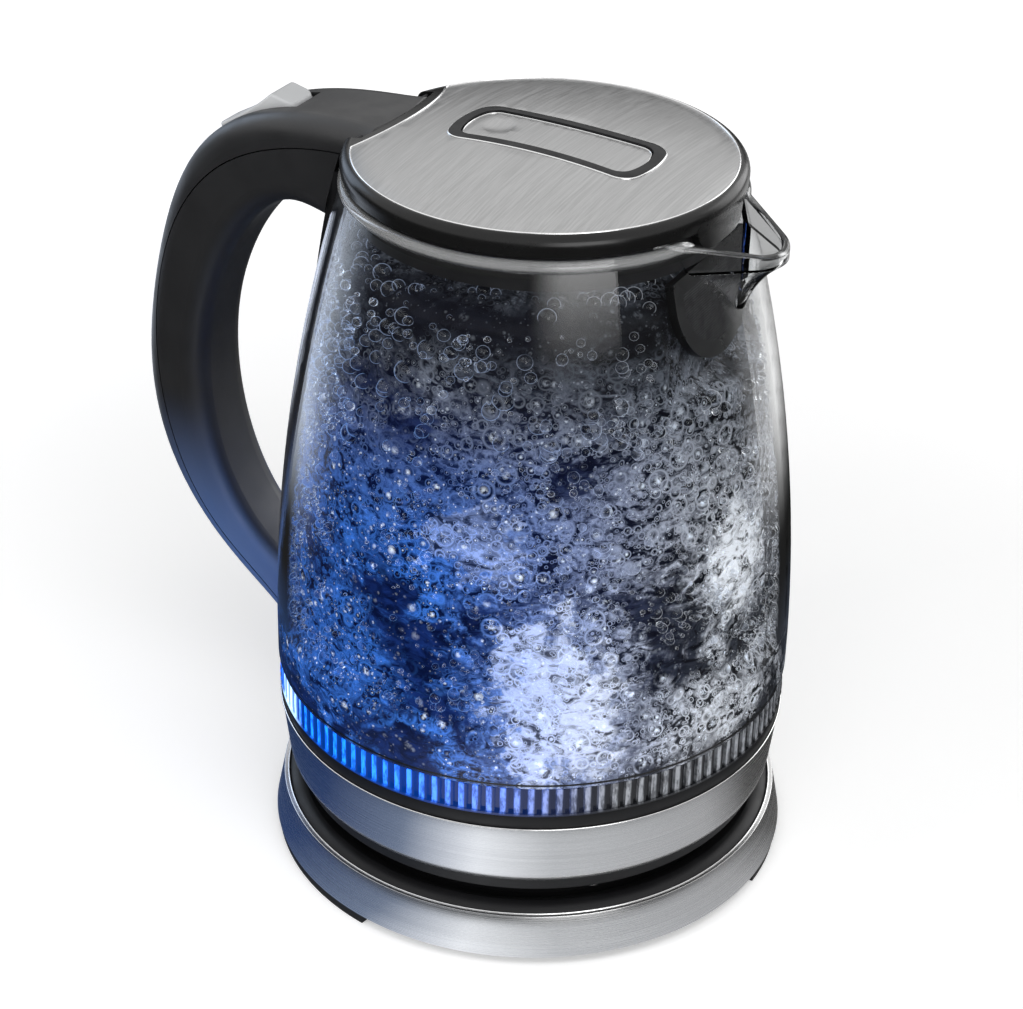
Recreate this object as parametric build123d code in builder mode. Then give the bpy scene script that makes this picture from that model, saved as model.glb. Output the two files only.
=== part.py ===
from build123d import *
from math import acos, atan2, cos, degrees, hypot, radians, sin, sqrt
import os

os.makedirs("parts", exist_ok=True)

# General fits, in mm
clear = 0.3
run_fit = 0.05
sheet = 0.8
moulding = 2.0

# Main sizes of the jug and the height of the kettle's foot
belly_r = 78.3
jug_curve_r = 529.0
jug_h = 153.0
glass = 2.8
band_top_z = 48.9

# Power base
base_spread = 1.9
ring_taper = 2.6
ring_low_z = 3.3
ring_top_z = 16.6
ring_lip = 1.4
floor_z = 2.2
shoulder_wide = 6.1
shoulder_rise = 1.4
dish_wide = 4.0
seat_z = 14.0
foot_wide = 6.6
foot_arc = 80
gland_r = 4.5
gland_bore_r = 3.0
gland_z = 9.0
base_screw_inset = 9.5
base_screw_n = 3
boss_r = 3.6
screw_head_r = 3.0
screw_head_h = 1.6
screw_r = 1.4
screw_len = 8.0

# Plug between base and kettle
turret_r = 16.0
turret_top_z = 27.0
turret_flange_r = 21.0
turret_foot_z = 6.0
groove_outer_r = 10.75
groove_inner_r = 5.75
groove_w = 1.5
groove_floor_z = 15.5
tube_wall = 0.5
contact_h = 3.0
contact_gap = 0.5
earth_hole_r = 2.5
earth_pin_r = 1.0

# Kettle foot
band_inset = 0.5
band_taper = 2.1
band_low_z = 31.0
band_roll = 3.1
band_end_z = 26.6
deck_h = 4.9
deck_wide = 13.5
foot_ring_inset = 9.6
foot_ring_w = 5.0
bottom_z = 22.0
socket_r = 22.5
kettle_screw_inset = 5.8
kettle_screw_angle = 45
kettle_boss_r = 3.0
kettle_screw_n = 4

# Light ring
light_h = 9.4
rib_n = 120
rib_deep = 1.0
rib_share = 0.6
light_wide = 4.3
ledge_wide = 2.0
ledge_deep = 2.4
led_n = 6
led_first = -128.5
led_inset = 2.2
led_size = 3.0
board_t = 1.5

# Heater
plate_fit = 0.2
plate_flange_wide = 6.4
plate_drop = 4.8
spreader_inset = 7.8
spreader_t = 3.4
element_inset = 12.0
element_tube_r = 3.3
element_sweep = 320
control_r = 30.0
control_top_z = 40.0
control_wide = 40.0

# Glass jug
belly_rise = 4.0
rim_bead_r = 1.9
jug_foot_inset = 5.1
jug_foot_h = 10.0

# Spout, as heights under the rim and reach past the glass
spout_back = 10.9
spout_low_drop = 26.0
spout_low_sink = 1.3
spout_low_half = 13.0
spout_low_tip_r = 8.0
spout_mid_drop = 14.5
spout_mid_out = 6.1
spout_mid_half = 19.0
spout_mid_tip_r = 9.5
spout_top_drop = 7.0
spout_top_out = 15.5
spout_top_half = 27.3
spout_top_tip_r = 11.5
spout_wall = 2.4
spout_lip_back = 7.9
spout_slope = 12.0
lip_round = 1.0

# Lid, as heights over the glass rim
rim_wall = 3.0
plate_rise = 9.0
crown = 5.0
rim_edge = 0.6
rim_rise = 3.3
rim_wide = 6.8
skirt_gap = 1.7
skirt_drop = 8.5
notch_back = 8.3
notch_half = 24.3
notch_sag = 4.8
tongue_inset = 0.8
tongue_t = 2.2
tongue_half = 14.5
tongue_drop = 3.4
tongue_round = 7.0
seal_gap = 0.8
seal_drop = 2.5
seal_h = 2.4

# Lid hinge
hinge_inset = 7.2
hinge_rise = 7.6
hinge_pin_r = 0.9
hinge_pin_half = 22.4
nose_half = 19.6
nose_mid_r = 5.1
nose_side_r = 2.2
hinge_gap = 0.5

# Press strip in the lid
slot_x = 3.5
slot_len = 61.5
slot_wide = 26.0
border = 3.0
slot_waist = 0.8
slot_bulge = 2.6
slot_corner = 6.0
strip_gap = 0.5
strip_sink = 0.4
dimple_x = -15.5
dimple_r = 5.0
dimple_deep = 0.7
strip_pin_x = 25.0
strip_pin_drop = 3.2
strip_pin_r = 1.0
ear_half = 6.0
ear_t = 2.0
ear_r = 2.0
strip_t = 1.2

# Handle, as reach behind the hinge or the jug and height under the rim or over the jug's foot
root_fore = 6.0
root_drop = 3.4
root_depth = 29.2
root_wide = 41.0
root_round = 6.0
arm_back = 20.0
arm_drop = 5.8
arm_lean = 5.0
arm_depth = 29.2
arm_wide = 33.0
bend_out = 21.5
bend_drop = 18.2
bend_lean = 50.0
bend_depth = 27.0
bend_wide = 28.5
neck_out = 32.9
neck_drop = 34.8
neck_lean = 61.3
neck_depth = 24.7
grip_out = 44.9
grip_rise = 64.5
grip_lean = 90.0
grip_depth = 21.0
grip_wide = 27.0
grip_round = 7.0
elbow_out = 27.6
elbow_rise = 14.0
elbow_lean = 128.0
elbow_depth = 16.0
heel_out = 10.2
heel_drop = 1.8
heel_lean = 142.0
sole_inset = 4.3
sole_drop = 10.5
sole_lean = 168.0
sole_depth = 26.0
cap_nose_t = 8.8
cap_t = 5.8
part_gap = 0.4

# Handle mounts on the jug
mount_gap = 0.3
mount_t = 2.7
mount_low_drop = 67.0
mount_top_drop = 4.0
mount_half = 18.0
mount_tip_half = 8.0
mount_round = 6.0
lower_mount_half = 11.0
lower_mount_edge = 0.4
lower_mount_rise = 2.0
stub_half = 9.0
stub_h = 6.0
stub_drop = 1.5

# Switch lever on the handle
lever_back = 6.4
lever_drop = 6.2
lever_slope = 26.5
lever_len = 29.5
lever_half = 6.0
lever_edge = 2.0
lever_crest_u = 23.5
lever_crest = 5.6
lever_front = 0.6
lever_depth = 4.0
lever_round = 3.0
lever_soft = 0.8
lever_pin_u = 15.0
lever_pin_n = -3.0
lever_pin_r = 1.2
lever_pin_half = 10.0
lever_nose_gap = 1.5
lever_pocket = 14.0
steam_h = 5.0

# Spout filter
filter_top_drop = 9.7
filter_h = 28.8
filter_back = 5.7
filter_lean = 12.0
filter_gap = 0.7
filter_rim = 4.6
filter_t = 2.4
filter_side = 4.0
mesh_t = 0.6

# Heights that follow
deck_top_z = band_top_z + deck_h
light_top_z = deck_top_z + light_h
ledge_z = light_top_z - ledge_deep
jug_low_z = light_top_z + sheet
belly_z = jug_low_z + belly_rise
jug_foot_z = jug_low_z + jug_foot_h
rim_z = jug_low_z + jug_h
plate_z = rim_z + plate_rise
rim_low_z = rim_z + rim_rise
skirt_z = rim_z - skirt_drop
tongue_z = rim_z - tongue_drop
seal_z = rim_z - seal_drop
hinge_z = rim_z + hinge_rise
spout_low_z = rim_z - spout_low_drop
spout_mid_z = rim_z - spout_mid_drop
spout_top_z = rim_z - spout_top_drop
mount_low_z = rim_z - mount_low_drop
mount_top_z = rim_z - mount_top_drop
stub_top_z = band_top_z - stub_drop
stub_low_z = stub_top_z - stub_h
lower_mount_low_z = stub_low_z - lower_mount_edge
lower_mount_top_z = jug_low_z + lower_mount_rise
filter_top_z = rim_z - filter_top_drop


def jug_r(z):
    """Outer radius of the glass at a height."""
    return belly_r - jug_curve_r + sqrt(jug_curve_r**2 - (z - belly_z) ** 2)


# Radii of base, foot and heater that follow from the belly
ring_low_r = belly_r + base_spread
ring_top_r = ring_low_r - ring_taper
shoulder_r = ring_top_r - shoulder_wide
dish_r = shoulder_r - dish_wide
base_screw_pitch_r = dish_r - base_screw_inset
band_top_r = belly_r - band_inset
band_low_r = band_top_r - band_taper
band_end_r = band_low_r - band_roll
deck_r = band_top_r - clear
deck_hole_r = deck_r - deck_wide
foot_ring_r = band_end_r - foot_ring_inset
kettle_screw_pitch_r = band_end_r - kettle_screw_inset
light_flange_r = belly_r - clear
rib_tip_r = light_flange_r - clear
rib_root_r = rib_tip_r - rib_deep
light_bore_r = rib_root_r - light_wide
ledge_bore_r = light_bore_r + ledge_wide
led_r = light_bore_r - led_inset
plate_flange_r = ledge_bore_r - plate_fit
plate_dish_r = plate_flange_r - plate_flange_wide
spreader_r = plate_dish_r - spreader_inset
element_r = spreader_r - element_inset
jug_foot_in_r = belly_r - jug_foot_inset

# Radii and places at the mouth that follow from the rim of the glass
mouth_r = jug_r(rim_z)
rim_r = mouth_r + clear
plate_r = rim_r - rim_wall
skirt_r = mouth_r - glass - skirt_gap
seal_r = mouth_r - glass - seal_gap
tongue_r = rim_r - tongue_inset
hinge_x = hinge_inset - rim_r
notch_x = hinge_x + notch_back
spout_back_x = mouth_r - spout_back
spout_lip_x = mouth_r - spout_lip_back
spout_low_x = jug_r(spout_low_z) - spout_low_sink
spout_mid_x = jug_r(spout_mid_z) + spout_mid_out
spout_top_x = jug_r(spout_top_z) + spout_top_out
filter_top_x = mouth_r - filter_back
filter_half = sqrt((jug_r(filter_top_z) - glass - filter_gap) ** 2 - filter_top_x**2)

# Places along the handle
root_x = hinge_x + root_fore
root_z = rim_z - root_drop
arm_x = hinge_x - arm_back
arm_z = rim_z - arm_drop
bend_x = -belly_r - bend_out
bend_z = rim_z - bend_drop
neck_x = -belly_r - neck_out
neck_z = rim_z - neck_drop
grip_x = -belly_r - grip_out
grip_z = jug_low_z + grip_rise
elbow_x = -belly_r - elbow_out
elbow_z = jug_low_z + elbow_rise
heel_x = -belly_r - heel_out
heel_z = jug_low_z - heel_drop
sole_x = sole_inset - belly_r
sole_z = jug_low_z - sole_drop
lever_rear_x = bend_x - lever_back
lever_rear_z = rim_z - lever_drop


def save(item, name):
    item.part.label = name
    export_step(item.part, f"parts/{name}.step")


def jug_side(out, low, high):
    """The glass curve moved out by a distance, between two heights."""
    return ThreePointArc(*[(jug_r(z) + out, z) for z in (low, (low + high) / 2, high)])


def dome_z(r, drop=0.0):
    """Height of the domed lid plate at a radius, less a drop."""
    ball = (plate_r**2 + crown**2) / (2 * crown)
    return plate_z + crown - ball + sqrt(ball**2 - r**2) - drop


def dome(r, drop=0.0):
    """Arc of the lid dome from the axis to a radius."""
    return ThreePointArc(*[(k, dome_z(k, drop)) for k in (0, r / 2, r)])


def turn(points, mode=Mode.ADD):
    """Turn an outline of radius and height pairs about the vertical axis."""
    with BuildSketch(Plane.XZ) as outline:
        with BuildLine():
            Polyline(*points, close=True)
        make_face()
    revolve(outline.sketch, axis=Axis.Z, mode=mode)


def tube(outer, inner, low, high, mode=Mode.ADD):
    """A straight ring about the vertical axis; no bore when inner is 0."""
    with BuildSketch(Plane.XY.offset(low)) as outline:
        Circle(outer)
        if inner:
            Circle(inner, mode=Mode.SUBTRACT)
    extrude(outline.sketch, amount=high - low, mode=mode)


def posts(n, pitch_r, r, low, high, mode=Mode.ADD, start=0.0):
    """Upright round posts spread evenly about the vertical axis."""
    with BuildSketch(Plane.XY.offset(low)) as outline:
        with PolarLocations(pitch_r, n, start_angle=start):
            Circle(r)
    extrude(outline.sketch, amount=high - low, mode=mode)


def block(x0, x1, half, z0, z1, mode=Mode.ADD):
    """A block across the middle plane."""
    with BuildSketch(Plane.XY.offset(z0)) as outline:
        with Locations(((x0 + x1) / 2, 0)):
            Rectangle(x1 - x0, 2 * half)
    extrude(outline.sketch, amount=z1 - z0, mode=mode)


def cross_pin(x, z, r, half, mode=Mode.ADD):
    """A round bar across the middle plane."""
    with BuildSketch(Plane.XZ) as outline:
        with Locations((x, z)):
            Circle(r)
    extrude(outline.sketch, amount=half, both=True, mode=mode)


# Power base, steel trim ring: a thin skin with its lip turned in at the top
ring_lean = (ring_low_r - ring_top_r) / (ring_top_z - ring_low_z)
lip_r = ring_top_r - ring_lip
lip_z = ring_top_z - sheet
skin_top_r = ring_top_r + ring_lean * sheet - sheet
skin_low_r = ring_low_r - sheet
with BuildPart() as base_trim_ring:
    turn(
        [
            (ring_low_r, ring_low_z),
            (ring_top_r, ring_top_z),
            (lip_r, ring_top_z),
            (lip_r, lip_z),
            (skin_top_r, lip_z),
            (skin_low_r, ring_low_z),
        ]
    )
    with BuildSketch(Plane.XZ):
        with Locations((0, gland_z)):
            Circle(gland_r)
    extrude(amount=-2 * ring_low_r, mode=Mode.SUBTRACT)
save(base_trim_ring, "base_trim_ring")

# Power base, top moulding: rounded shoulder, seat for the kettle foot, skirt inside the steel ring
with BuildPart() as base_top_cover:
    with BuildSketch(Plane.XZ):
        with BuildLine():
            rise = ThreePointArc(
                (lip_r, lip_z),
                ((lip_r + shoulder_r) / 2 + shoulder_rise / 2, ring_top_z + shoulder_rise / 2),
                (shoulder_r, ring_top_z + shoulder_rise),
            )
            Polyline(
                rise @ 1,
                (dish_r, seat_z + moulding),
                (dish_r - moulding, seat_z),
                (turret_r + clear, seat_z),
                (turret_r + clear, seat_z - moulding),
                (dish_r - moulding, seat_z - moulding),
                (skin_top_r - moulding, lip_z - moulding),
                (skin_low_r - moulding, ring_low_z),
                (skin_low_r, ring_low_z),
                (skin_top_r, lip_z),
                rise @ 0,
            )
        make_face()
    revolve(axis=Axis.Z)
    posts(base_screw_n, base_screw_pitch_r, boss_r, floor_z + moulding, seat_z - moulding / 2)
    posts(
        base_screw_n,
        base_screw_pitch_r,
        screw_r,
        floor_z,
        floor_z + moulding + screw_len,
        Mode.SUBTRACT,
    )
    with BuildSketch(Plane.XZ):
        with Locations((0, gland_z)):
            Circle(gland_r)
    extrude(amount=-2 * ring_low_r, mode=Mode.SUBTRACT)
save(base_top_cover, "base_top_cover")

# Power base, floor plate
plate_edge = skin_low_r - moulding - 2 * clear
with BuildPart() as base_floor:
    tube(plate_edge, 0, floor_z, floor_z + moulding)
    posts(
        base_screw_n,
        base_screw_pitch_r,
        screw_head_r + clear,
        floor_z,
        floor_z + moulding / 2,
        Mode.SUBTRACT,
    )
    posts(base_screw_n, base_screw_pitch_r, screw_r, floor_z, floor_z + moulding, Mode.SUBTRACT)
save(base_floor, "base_floor")

# Power base, screws from below
with BuildPart() as base_screws:
    posts(base_screw_n, base_screw_pitch_r, screw_r, floor_z, floor_z + screw_len)
    posts(
        base_screw_n,
        base_screw_pitch_r,
        screw_head_r,
        floor_z + clear,
        floor_z + moulding / 2,
    )
save(base_screws, "base_screws")

# Power base, two long arc feet
with BuildPart() as base_feet:
    pad_out = skin_low_r + clear / 2
    pad_in = pad_out - foot_wide
    for first in (0, 180):
        with BuildSketch(Plane.XZ.rotated((0, 0, first))):
            with BuildLine():
                Polyline(
                    (pad_in, 0),
                    (pad_out, 0),
                    (pad_out, ring_low_z),
                    (plate_edge + clear, ring_low_z),
                    (plate_edge + clear, floor_z),
                    (pad_in, floor_z),
                    close=True,
                )
            make_face()
        revolve(axis=Axis.Z, revolution_arc=foot_arc)
save(base_feet, "base_feet")

# Power base, cord gland bush
with BuildPart() as cord_gland:
    with BuildSketch(Plane.XZ.offset(-(skin_low_r - foot_wide))):
        with Locations((0, gland_z)):
            Circle(gland_r)
            Circle(gland_bore_r, mode=Mode.SUBTRACT)
    extrude(amount=-(foot_wide + moulding))
save(cord_gland, "cord_gland")

# Power base, round plug turret with two ring grooves and an earth hole
with BuildPart() as base_turret:
    tube(turret_r, 0, turret_foot_z, turret_top_z)
    tube(turret_flange_r, turret_r, seat_z, seat_z + moulding)
    for r in (groove_outer_r, groove_inner_r):
        tube(r + groove_w / 2, r - groove_w / 2, groove_floor_z, turret_top_z, Mode.SUBTRACT)
    tube(earth_hole_r, 0, groove_floor_z, turret_top_z, Mode.SUBTRACT)
    chamfer(base_turret.faces().sort_by(Axis.Z)[-1].outer_wire().edges(), moulding / 2)
save(base_turret, "base_turret")

# Power base, contacts at the bottom of the grooves
with BuildPart() as base_contacts:
    for r in (groove_outer_r, groove_inner_r):
        half_w = groove_w / 2 - run_fit
        tube(r + half_w, r - half_w, groove_floor_z, groove_floor_z + contact_h)
    tube(earth_hole_r - run_fit, earth_pin_r + clear, groove_floor_z, groove_floor_z + contact_h)
save(base_contacts, "base_contacts")

# Kettle plug contacts: two tubes and an earth pin hanging from the control
tube_low_z = groove_floor_z + contact_h + contact_gap
socket_top_z = turret_top_z + 2 * moulding
with BuildPart() as coupler_contacts:
    for r in (groove_outer_r, groove_inner_r):
        tube(r + tube_wall / 2, r - tube_wall / 2, tube_low_z, socket_top_z)
    tube(earth_pin_r, 0, tube_low_z - contact_h, socket_top_z)
save(coupler_contacts, "coupler_contacts")

# Kettle, steel band with its lower edge rolled in
with BuildPart() as steel_band:
    with BuildSketch(Plane.XZ):
        with BuildLine():
            side = Line((band_top_r, band_top_z), (band_low_r, band_low_z))
            roll = TangentArc(side @ 1, (band_end_r, band_end_z), tangent=side % 1)
            Line(roll @ 1, (band_end_r, band_end_z + sheet))
            back = Line((band_top_r - sheet, band_top_z), (band_low_r - sheet, band_low_z))
            TangentArc(back @ 1, (band_end_r, band_end_z + sheet), tangent=back % 1)
            Line(back @ 0, side @ 0)
        make_face()
    revolve(axis=Axis.Z)
    block(
        -2 * band_top_r, 0, stub_half + clear, stub_low_z - clear, stub_top_z + clear, Mode.SUBTRACT
    )
save(steel_band, "steel_band")

# Kettle, chassis ring: the black deck above the band and the wall behind it
wall_top_r = band_top_r - sheet
wall_low_r = band_low_r - sheet
with BuildPart() as chassis:
    turn(
        [
            (deck_hole_r, deck_top_z - moulding),
            (deck_hole_r, deck_top_z),
            (deck_r, deck_top_z),
            (deck_r, band_top_z),
            (wall_top_r, band_top_z),
            (wall_low_r, band_low_z),
            (band_end_r, band_end_z + moulding),
            (band_end_r - moulding, band_end_z + moulding),
            (wall_top_r - moulding, deck_top_z - moulding),
        ]
    )
    posts(
        kettle_screw_n,
        kettle_screw_pitch_r,
        kettle_boss_r,
        bottom_z + moulding,
        deck_top_z - moulding / 2,
        start=kettle_screw_angle,
    )
    posts(
        kettle_screw_n,
        kettle_screw_pitch_r,
        screw_r,
        bottom_z,
        bottom_z + moulding + screw_len,
        Mode.SUBTRACT,
        kettle_screw_angle,
    )
    block(-2 * band_top_r, 0, stub_half, stub_low_z, stub_top_z, Mode.SUBTRACT)
save(chassis, "chassis")

# Kettle, bottom cover with the ring it stands on
cover_r = band_end_r - clear
with BuildPart() as bottom_cover:
    turn(
        [
            (socket_r + clear, seat_z + moulding),
            (socket_r + clear, bottom_z + moulding),
            (cover_r - moulding, bottom_z + moulding),
            (cover_r - moulding, band_end_z + moulding),
            (cover_r, band_end_z + moulding),
            (cover_r, bottom_z + moulding / 2),
            (cover_r - moulding / 2, bottom_z),
            (foot_ring_r, bottom_z),
            (foot_ring_r, seat_z),
            (foot_ring_r - foot_ring_w, seat_z),
            (foot_ring_r - foot_ring_w, bottom_z),
            (socket_r + clear + moulding, bottom_z),
            (socket_r + clear + moulding, seat_z + moulding),
        ]
    )
    posts(
        kettle_screw_n,
        kettle_screw_pitch_r,
        screw_r,
        seat_z,
        bottom_z + moulding,
        Mode.SUBTRACT,
        kettle_screw_angle,
    )
save(bottom_cover, "bottom_cover")

# Kettle, screws through the bottom cover
with BuildPart() as kettle_screws:
    posts(
        kettle_screw_n,
        kettle_screw_pitch_r,
        screw_r,
        bottom_z,
        bottom_z + screw_len,
        start=kettle_screw_angle,
    )
    posts(
        kettle_screw_n,
        kettle_screw_pitch_r,
        screw_head_r,
        bottom_z - screw_head_h,
        bottom_z,
        start=kettle_screw_angle,
    )
save(kettle_screws, "kettle_screws")

# Kettle, ribbed clear light ring
with BuildPart() as light_ring:
    tube(light_flange_r, light_bore_r, deck_top_z, deck_top_z + sheet)
    with BuildSketch(Plane.XY.offset(deck_top_z + sheet)):
        with BuildLine():
            rim_points = []
            rib_steps = (
                (0, rib_root_r),
                (1 - rib_share, rib_root_r),
                (1 - rib_share, rib_tip_r),
                (1, rib_tip_r),
            )
            for k in range(rib_n):
                for share, r in rib_steps:
                    turned = radians(360 * (k + share) / rib_n)
                    rim_points.append((r * cos(turned), r * sin(turned)))
            Polyline(*rim_points, close=True)
        make_face()
    extrude(amount=light_top_z - deck_top_z - sheet)
    tube(light_bore_r, 0, deck_top_z, ledge_z, Mode.SUBTRACT)
    tube(ledge_bore_r, 0, ledge_z, light_top_z, Mode.SUBTRACT)
save(light_ring, "light_ring")

# Kettle, lamp board and its lamps
with BuildPart() as led_board:
    tube(light_bore_r - clear, deck_hole_r + moulding, deck_top_z, deck_top_z + board_t)
save(led_board, "led_board")

with BuildPart() as leds:
    with BuildSketch(Plane.XY.offset(deck_top_z + board_t)):
        with PolarLocations(led_r, led_n, start_angle=led_first):
            Rectangle(led_size, led_size)
    extrude(amount=led_size)
save(leds, "leds")

# Kettle, heating plate, seal, heat spreader, element and control
plate_top_z = ledge_z + sheet
dish_z = plate_top_z - plate_drop
with BuildPart() as heating_plate:
    turn(
        [
            (0, dish_z - sheet),
            (plate_dish_r, dish_z - sheet),
            (plate_dish_r, ledge_z),
            (plate_flange_r, ledge_z),
            (plate_flange_r, plate_top_z),
            (plate_dish_r - sheet, plate_top_z),
            (plate_dish_r - sheet, dish_z),
            (0, dish_z),
        ]
    )
save(heating_plate, "heating_plate")

with BuildPart() as jug_seal:
    turn(
        [
            (plate_dish_r + sheet, plate_top_z),
            (ledge_bore_r - run_fit, plate_top_z),
            (ledge_bore_r - run_fit, light_top_z),
            (rib_root_r, light_top_z),
            (rib_root_r, jug_low_z),
            (plate_dish_r + sheet, jug_low_z),
        ]
    )
save(jug_seal, "jug_seal")

spreader_z = dish_z - sheet - spreader_t
with BuildPart() as heat_spreader:
    tube(spreader_r, 0, spreader_z, dish_z - sheet)
save(heat_spreader, "heat_spreader")

with BuildPart() as element_ring:
    with BuildSketch(Plane.XZ):
        with Locations((element_r, spreader_z - element_tube_r)):
            Circle(element_tube_r)
    revolve(axis=Axis.Z, revolution_arc=element_sweep)
save(element_ring, "element_ring")

with BuildPart() as control_unit:
    tube(control_r, 0, bottom_z + moulding, control_top_z)
    block(-control_wide / 2, control_wide / 2, control_wide / 2, control_top_z, spreader_z)
    tube(socket_r, 0, seat_z + moulding + clear, bottom_z + moulding)
    tube(turret_r + moulding / 2, 0, seat_z, socket_top_z, Mode.SUBTRACT)
save(control_unit, "control_unit")

# Spout: a trough drawn out of the rim, its lip dipping towards the tip
def spout_wedge(inset):
    """The spout as a solid, moved in by a wall thickness."""
    with BuildPart() as wedge:
        for z, tip, half, tip_r in (
            (spout_low_z, spout_low_x, spout_low_half, spout_low_tip_r),
            (spout_mid_z, spout_mid_x, spout_mid_half, spout_mid_tip_r),
            (spout_top_z, spout_top_x, spout_top_half, spout_top_tip_r),
        ):
            run = tip - tip_r - spout_back_x
            side = atan2(half, -run) - acos(tip_r / hypot(half, run))
            back = (tip_r - inset + run * cos(side)) / sin(side)
            with BuildSketch(Plane.XY.offset(z)) as section:
                with BuildLine():
                    tip_centre = (tip - tip_r, 0)
                    nose = CenterArc(tip_centre, tip_r - inset, -degrees(side), 2 * degrees(side))
                    Polyline(nose @ 1, (spout_back_x, back), (spout_back_x, -back), nose @ 0)
                make_face()
        loft()
        extrude(section.sketch, amount=rim_z - spout_top_z + 2 * rim_bead_r)
    return wedge.part


spout_body = spout_wedge(0)
spout_hollow = spout_wedge(spout_wall)
lip_plane = Plane(
    origin=(spout_lip_x, 0, rim_z + rim_bead_r),
    x_dir=(cos(radians(spout_slope)), 0, -sin(radians(spout_slope))),
    z_dir=(sin(radians(spout_slope)), 0, cos(radians(spout_slope))),
)
with BuildPart() as lip_trim:
    with BuildSketch(lip_plane):
        Rectangle(2 * belly_r, 2 * belly_r)
    extrude(amount=belly_r)
with BuildPart() as jug_inside:
    with BuildSketch(Plane.XZ):
        with BuildLine():
            inner = jug_side(-glass, jug_foot_z, rim_z)
            Polyline(
                inner @ 1,
                (jug_r(rim_z) - glass, 2 * rim_z),
                (0, 2 * rim_z),
                (0, 0),
                (jug_foot_in_r, 0),
                (jug_foot_in_r, (jug_low_z + jug_foot_z) / 2 - glass),
                inner @ 0,
            )
        make_face()
    revolve(axis=Axis.Z)
spout_block = spout_body - lip_trim.part
with BuildPart() as trough:
    add(spout_block - spout_hollow)
    lip_edges = trough.faces().filter_by(lip_plane).edges().filter_by(Plane.YZ, reverse=True)
    fillet(lip_edges, lip_round)
    add(jug_inside.part, mode=Mode.SUBTRACT)

# Glass jug: curved wall, thick foot, beaded rim, spout
with BuildPart() as glass_jug:
    with BuildSketch(Plane.XZ):
        with BuildLine():
            wall = jug_side(0, jug_low_z, rim_z)
            Polyline(wall @ 1, (0, rim_z), (0, jug_low_z), wall @ 0)
        make_face()
    revolve(axis=Axis.Z)
    with BuildSketch(Plane.XZ):
        with Locations((jug_r(rim_z) - glass + rim_bead_r, rim_z)):
            Circle(rim_bead_r)
    revolve(axis=Axis.Z)
    add(jug_inside.part, mode=Mode.SUBTRACT)
    add(spout_hollow, mode=Mode.SUBTRACT)
    add(spout_block, mode=Mode.SUBTRACT)
    add(trough.part)
save(glass_jug, "glass_jug")


# Handle: one lofted body, later parted into an outer cap and an inner shell
handle_sections = (
    (root_x, root_z, 0, root_depth, root_wide, root_round, cap_nose_t),
    (arm_x, arm_z, arm_lean, arm_depth, arm_wide, grip_round, cap_nose_t),
    (bend_x, bend_z, bend_lean, bend_depth, bend_wide, grip_round, cap_nose_t),
    (neck_x, neck_z, neck_lean, neck_depth, grip_wide, grip_round, cap_t),
    (grip_x, grip_z, grip_lean, grip_depth, grip_wide, grip_round, cap_t),
    (elbow_x, elbow_z, elbow_lean, elbow_depth, grip_wide, grip_round, cap_t),
    (heel_x, heel_z, heel_lean, elbow_depth, grip_wide, grip_round, cap_t),
    (sole_x, sole_z, sole_lean, sole_depth, bend_wide, grip_round, cap_t),
)


def outer_part(inset):
    """Everything outside the parting line, the line moved inwards by a distance."""
    points = []
    for x, z, lean, depth, wide, bend_r, cap in handle_sections:
        out = depth / 2 - cap - inset
        points.append((x - out * sin(radians(lean)), z + out * cos(radians(lean))))
    with BuildPart() as region:
        with BuildSketch(Plane.XZ):
            with BuildLine():
                line = Spline(*points)
                far = 2 * grip_x
                Polyline(line @ 1, (sole_x, 0), (far, 0), (far, -far), (root_x, -far), line @ 0)
            make_face()
        extrude(amount=root_wide, both=True)
    return region.part


def barrel(gap):
    """Crowned barrel about the lid hinge, grown by a gap."""
    half = nose_half + gap
    with BuildPart() as turned:
        with BuildSketch(Plane.XY.offset(hinge_z)):
            with BuildLine():
                bow = ThreePointArc(
                    (hinge_x + nose_side_r + gap, -half),
                    (hinge_x + nose_mid_r + gap, 0),
                    (hinge_x + nose_side_r + gap, half),
                )
                Polyline(bow @ 1, (hinge_x, half), (hinge_x, -half), bow @ 0)
            make_face()
        revolve(axis=Axis((hinge_x, 0, hinge_z), (0, 1, 0)))
    return turned.part


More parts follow.
